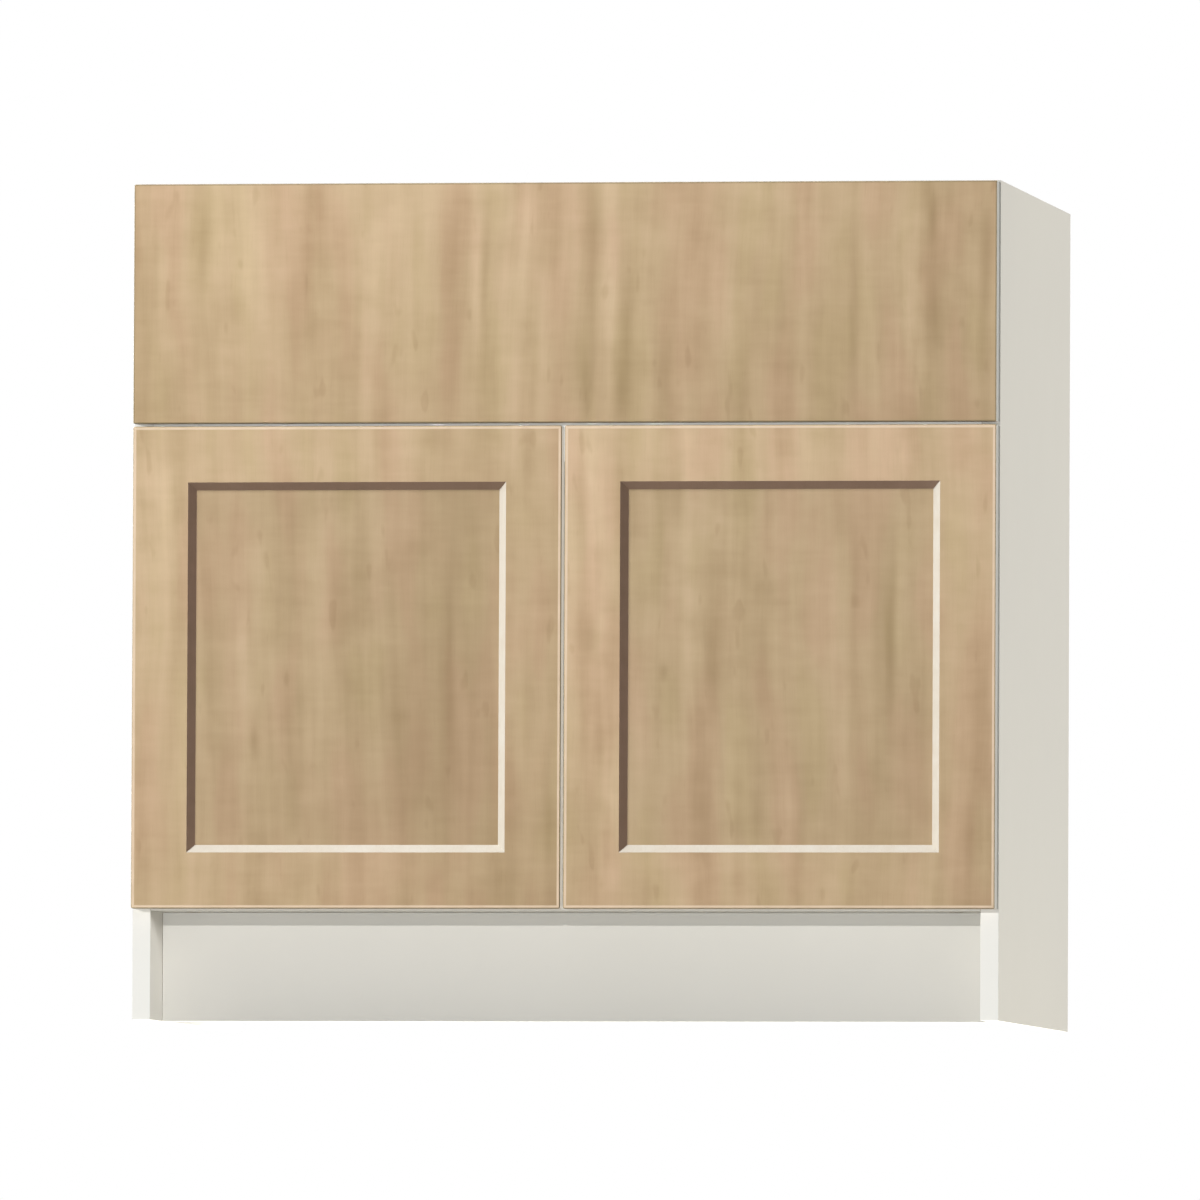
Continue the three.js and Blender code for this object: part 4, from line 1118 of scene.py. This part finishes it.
def system_screws():
    u0 = B + 0.2
    made = None
    for w in (-16, 16):
        prof = [(0, -11 + B), (1.5, -10.7 + B)]
        u = B - 10.2
        while u < u0 - 1.2:
            prof += [(1.7, u), (2.2, u + 0.5), (2.2, u + 0.7), (1.7, u + 1.2)]
            u += 1.7
        prof += [(2.0, u0 - 0.2), (2.2, u0 + 1.0), (3.9, u0 + 2.0), (3.85, u0 + 2.5), (3.5, u0 + 3.2), (2.8, u0 + 3.7), (0, u0 + 3.8)]
        bm = lathe_bm(prof, 28)
        bm.transform(Matrix.Translation((0, 39, w)) @ Matrix.Rotation(math.pi / 2, 4, "Y"))
        bmesh.ops.recalc_face_normals(bm, faces=bm.faces)
        bm = merged(bm, (), cross_recess("x", 39, w, u0 + 3.8, 1, 2.2, 1.3))
        made = merged(made, [bm]) if made else bm
    return made


def hinge_cup():
    cx = CUP_U * 1000
    prof = [(0, -12.3), (15.6, -12.3), (16.6, -12.0), (17.2, -11.3), (17.4, -10.4), (17.4, 0.3), (17.2, 0.5), (0, 0.5)]
    body = lathe_bm(prof, 72)
    body.transform(Matrix.Translation((cx, 0, 0)) @ Matrix.Rotation(-math.pi / 2, 4, "X"))
    bmesh.ops.recalc_face_normals(body, faces=body.faces)
    ears = hull2(disc((cx, 0), 19.0, 64) + disc((cx + 9.5, 22.5), 7.2, 36) + disc((cx + 9.5, -22.5), 7.2, 36))
    flange = prism("y", ears, 0.1, 0.8)
    pocket = prism("y", round_rect(cx - 15.2, cx + 15.5, -7.6, 7.6, 1.5), -11.3, 2)
    # shallow stepped seat that the arm folds into
    seat = prism("y", round_rect(cx - 15.6, cx + 16.4, -9.6, 9.6, 2.2), 0.35, 2)
    bm = merged(body, [flange], [pocket, seat])
    pins = [prism("z", disc((PC[0], -PC[1]), 0.95, 24), 0.3, 8.2), prism("z", disc((PD[0], -PD[1]), 0.95, 24), -8.2, -0.3)]
    return merged(bm, pins)


def cup_screws():
    cx = CUP_U * 1000
    made = None
    for w in (22.5, -22.5):
        prof = [(0, 0.55), (3.9, 0.55), (3.85, 0.95), (3.5, 1.5), (2.9, 1.95), (2.0, 2.22), (0, 2.3)]
        bm = lathe_bm(prof, 36)
        bm.transform(Matrix.Translation((cx + 9.5, 0, w)) @ Matrix.Rotation(-math.pi / 2, 4, "X"))
        bmesh.ops.recalc_face_normals(bm, faces=bm.faces)
        bm = merged(bm, (), cross_recess("y", cx + 9.5, w, 2.3, 1, 2.1, 1.1))
        made = merged(made, [bm]) if made else bm
    return made


SHAPES = {
    "outer_link": link([PC, (22.0, 8.1), (31.6, 8.4), PA], 1.5, [(PC, 2.2), (PA, 2.2)], [(PA, 1.15), (PC, 1.15)], 0.3, 6.3),
    "inner_link": link([PD, (23.6, 8.7), (36.45, 8.85), PB], 1.35, [(PD, 3.6), (PB, 1.95)], [(PB, 1.15), (PD, 2.5)], -6.3, -0.3),
    "arm": hinge_arm(), "arm_screws": arm_screws(), "plate": hinge_plate(), "plate_screws": system_screws(),
    "cup": hinge_cup(), "cup_screws": cup_screws(),
}
for side, s in (("left", -1), ("right", 1)):
    for level, hz in (("lower", HINGE_Z[0]), ("upper", HINGE_Z[1])):
        nm = f"{side}_{level}_hinge"
        for part, body, node, mat, bev in (
                ("cup", f"{side}_door", "cup", "nickel", 0.25), ("cup_screws", f"{side}_door", "cup", "steel", 0.0),
                ("outer_link", f"{side}_outer_links", "outer_link", "nickel", 0.25), ("inner_link", f"{side}_inner_links", "inner_link", "nickel", 0.25),
                ("arm", "carcass", "arm", "nickel", 0.3), ("arm_screws", "carcass", "arm", "steel", 0.12),
                ("plate", "carcass", "plate", "nickel", 0.35), ("plate_screws", "carcass", "plate", "steel", 0.0)):
            put(f"{nm}_{part}_metal", SHAPES[part], (s * SIDE_X, DOOR_BACK_Y, hz), [M[mat]], body, f"{nm}_{node}",
                bev, mirror=s > 0)

# ------------------------------------------------------------------ stage, lights, camera

floor_bm = bmesh.new()
bmesh.ops.create_grid(floor_bm, x_segments=2, y_segments=2, size=20.0)
me = bpy.data.meshes.new("floor")
floor_bm.to_mesh(me)
floor_bm.free()
floor = bpy.data.objects.new("floor", me)
bpy.context.scene.collection.objects.link(floor)
floor.location.z = -0.0004
fn = Nodes("pale_floor")
cloud = fn.noise(fn.scale(fn.coord, (0.8, 0.8, 0.8)), 1.0, 2.0, 0.5)
fn.set(color=fn.mix(fn.remap(cloud, 0.3, 0.7), srgb(236, 235, 232), srgb(232, 231, 227)), rough=0.75, spec=0.2)
geo = fn.t.nodes.new("ShaderNodeNewGeometry")
clear = fn.t.nodes.new("ShaderNodeBsdfTransparent")
mixs = fn.t.nodes.new("ShaderNodeMixShader")
fn.link(geo.outputs["Backfacing"], mixs.inputs[0])
fn.link(fn.bsdf.outputs[0], mixs.inputs[1])
fn.link(clear.outputs[0], mixs.inputs[2])
fn.link(mixs.outputs[0], fn.out.inputs["Surface"])
me.materials.append(fn.mat)

world = bpy.data.worlds.new("studio")
bpy.context.scene.world = world
world.use_nodes = True
wt = world.node_tree
wt.nodes.clear()
wo = wt.nodes.new("ShaderNodeOutputWorld")
bg_cam = wt.nodes.new("ShaderNodeBackground")
bg_cam.inputs["Color"].default_value = (1, 1, 1, 1)
bg_cam.inputs["Strength"].default_value = 1.0
bg_fill = wt.nodes.new("ShaderNodeBackground")
bg_fill.inputs["Color"].default_value = (1.0, 0.99, 0.97, 1)
bg_fill.inputs["Strength"].default_value = 0.08
lp = wt.nodes.new("ShaderNodeLightPath")
wm = wt.nodes.new("ShaderNodeMixShader")
wt.links.new(lp.outputs["Is Camera Ray"], wm.inputs[0])
wt.links.new(bg_fill.outputs[0], wm.inputs[1])
wt.links.new(bg_cam.outputs[0], wm.inputs[2])
wt.links.new(wm.outputs[0], wo.inputs["Surface"])


def lit_group(name, pieces, exclude=False):
    """A set of pieces for a light to fall on or, with exclude, to pass by."""
    c = bpy.data.collections.new(name)
    for i, o in enumerate(pieces):
        c.objects.link(o)
        if exclude:
            c.collection_objects[i].light_linking.link_state = "EXCLUDE"
    return c


def softbox(name, direction, distance, size, power, color=(1, 1, 1), size_y=None, aim=None, falls_on=None, passes=None):
    """A rectangular studio light, in that direction from the middle of the front."""
    centre = Vector(aim or (0, -0.28, 0.45))
    at = centre + Vector(direction).normalized() * distance
    d = bpy.data.lights.new(name, "AREA")
    d.shape = "RECTANGLE"
    d.size = size
    d.size_y = size_y or size
    d.energy = power
    d.color = color
    o = bpy.data.objects.new(name, d)
    bpy.context.scene.collection.objects.link(o)
    o.location = at
    o.rotation_mode = "QUATERNION"
    o.rotation_quaternion = (centre - at).to_track_quat("-Z", "Y")
    o.visible_camera = False
    if falls_on:
        o.light_linking.receiver_collection = falls_on
    if passes:
        o.light_linking.blocker_collection = passes
    return o


FACES = [bpy.data.objects[n] for n in ("false_front_board", "left_door_board", "right_door_board")]
STRIPS = [bpy.data.objects[n] for n in ("left_door_edge_strip", "right_door_edge_strip", "false_front_edge_strip")]
LEFT_SIDE, RIGHT_SIDE = (bpy.data.objects[f"{n}_side_panel_board"] for n in ("left", "right"))
TOE_BOARD = bpy.data.objects["toe_kick_board_board"]
BOTTOM = bpy.data.objects["bottom_panel_board"]
INSIDE = [bpy.data.objects[f"{n}_board"] for n in ("back_panel", "bottom_panel", "rear_bottom_rail", "rear_top_rail")]
on_fronts = lit_group("lit_fronts", FACES)
on_strips = lit_group("lit_strips", STRIPS)
BRACES = [bpy.data.objects[f"{s}_{e}_corner_brace_moulding"] for s in ("left", "right") for e in ("front", "rear")]
on_case = lit_group("lit_case", FACES + STRIPS + BRACES + [floor], exclude=True)
on_braces = lit_group("lit_braces", BRACES)
on_rest = lit_group("lit_rest", FACES + STRIPS + [floor, LEFT_SIDE, RIGHT_SIDE, BOTTOM], exclude=True)
on_panels = lit_group("lit_side_panels", [LEFT_SIDE, RIGHT_SIDE])
on_sides = lit_group("lit_sides", STRIPS + [floor], exclude=True)
on_inside = lit_group("lit_inside", INSIDE)
on_floor = lit_group("lit_floor", [floor])
on_left = lit_group("lit_left_side", [LEFT_SIDE])
on_right = lit_group("lit_right_side", [RIGHT_SIDE])
on_feet = lit_group("lit_feet", [LEFT_SIDE, RIGHT_SIDE, TOE_BOARD])
not_floor = lit_group("past_floor", [floor], exclude=True)
not_fronts = lit_group("past_fronts", [floor] + FACES + STRIPS, exclude=True)
EYE = (0.1459, -0.9885, -0.04)
softbox("fronts_key", (-0.575, -0.54, 0.615), 10.0, 2.2, 1330, falls_on=on_fronts)
softbox("fronts_sheen_left", (-0.99, -0.075, 0.03), 9.0, 1.2, 200, size_y=5.4, falls_on=on_fronts)
softbox("fronts_sheen_top", (-0.14, -0.075, 0.987), 9.0, 5.4, 220, size_y=1.2, falls_on=on_fronts)
softbox("fronts_fill", EYE, 12.0, 1.0, 70, falls_on=on_fronts, passes=not_floor)
softbox("strip_fill", (0.85, -0.52, 0.05), 12.0, 1.0, 900, (0.81, 1.08, 1.40), falls_on=on_strips, passes=not_fronts)
softbox("strip_front", EYE, 12.0, 1.0, 320, falls_on=on_strips, passes=not_fronts)
softbox("strip_left", (-0.97, 0.25, 0.03), 12.0, 1.0, 620, (0.93, 1.0, 1.1), falls_on=on_strips)
softbox("strip_top", (-0.05, 0.05, 0.99), 12.0, 1.0, 760, falls_on=on_strips)
softbox("case_fill", EYE, 12.0, 0.4, 325, falls_on=on_rest, passes=not_floor)
softbox("case_hard", (0.104, -0.987, 0.13), 12.0, 0.12, 480, falls_on=on_rest, passes=not_floor)
softbox("bottom_fill", EYE, 12.0, 0.4, 250, falls_on=lit_group("lit_bottom_panel", [BOTTOM]), passes=not_floor)
softbox("panel_fill", (-0.45, -0.89, -0.04), 12.0, 0.4, 385, falls_on=on_panels, passes=not_floor)
softbox("panel_hard_left", (-0.45, -0.89, 0.13), 12.0, 0.12, 440, falls_on=on_left, passes=not_floor)
softbox("panel_hard_right", (-0.45, -0.89, 0.13), 12.0, 0.12, 640, falls_on=on_right, passes=not_floor)
softbox("case_right", (0.93, 0.35, 0.07), 12.0, 3.0, 1180, (1.0, 0.99, 0.96), falls_on=on_sides)
softbox("case_left", (-0.82, 0.55, 0.16), 12.0, 3.0, 600, falls_on=on_sides)
softbox("case_top", (-0.12, 0.26, 0.96), 13.0, 3.0, 1700, falls_on=on_case)
softbox("brace_top", (-0.12, 0.26, 0.96), 13.0, 3.0, 780, falls_on=on_braces)
softbox("case_inside", (0.0, -0.45, 0.89), 12.0, 1.6, 330, falls_on=on_inside)
softbox("rail_fill", EYE, 12.0, 0.3, 480, falls_on=lit_group("lit_mid_rail", [bpy.data.objects["mid_rail_board"]]), passes=not_floor)
softbox("toe_side", (0.98, -0.12, 0.02), 12.0, 0.5, 640, falls_on=on_left, passes=not_floor)
softbox("toe_fill", (0.1, -0.99, -0.04), 12.0, 0.4, 40, (0.6, 1.0, 1.5), falls_on=lit_group("lit_toe_board", [TOE_BOARD]), passes=not_floor)
softbox("below", (0.0, 0.0, -1.0), 12.0, 1.0, 1450, aim=(0, 0, 0), falls_on=on_feet, passes=not_floor)
softbox("below_left", (0.72, 0.68, 0.012), 12.0, 0.5, 1500, aim=(-0.4, 0, 0), falls_on=on_left, passes=not_floor)
softbox("rear", (-0.4, 0.85, 0.4), 9.0, 3.0, 260, aim=(0, 0.3, 0.45), falls_on=on_sides)
# an even, very soft light for the floor, which reaches to its far edge
sky = bpy.data.lights.new("floor_light", "SUN")
sky.energy = 1.7
sky.angle = math.radians(50)
sky_o = bpy.data.objects.new("floor_light", sky)
bpy.context.scene.collection.objects.link(sky_o)
sky_o.rotation_mode = "QUATERNION"
sky_o.rotation_quaternion = Vector((-0.05, 0.25, -0.97)).to_track_quat("-Z", "Y")
sky_o.light_linking.receiver_collection = on_floor

cam_data = bpy.data.cameras.new("camera")
cam = bpy.data.objects.new("camera", cam_data)
bpy.context.scene.collection.objects.link(cam)
az, el, roll, dist = math.radians(8.389), math.radians(-2.361), math.radians(0.247), 21.473
back = Vector((math.sin(az) * math.cos(el), -math.cos(az) * math.cos(el), math.sin(el)))
right = Vector((math.cos(az), math.sin(az), 0))
up = back.cross(right)
r2 = right * math.cos(roll) + up * math.sin(roll)
u2 = -right * math.sin(roll) + up * math.cos(roll)
target = Vector((-0.0055, 0.0, 0.4508))
cam.matrix_world = Matrix((
    (r2.x, u2.x, back.x, target.x + back.x * dist),
    (r2.y, u2.y, back.y, target.y + back.y * dist),
    (r2.z, u2.z, back.z, target.z + back.z * dist),
    (0, 0, 0, 1)))
cam_data.sensor_width = 36
cam_data.lens = 608.39
cam_data.clip_start, cam_data.clip_end = 1.0, 80.0
bpy.context.scene.camera = cam
bpy.context.scene.view_settings.view_transform = "Standard"
bpy.context.scene.view_settings.look = "None"
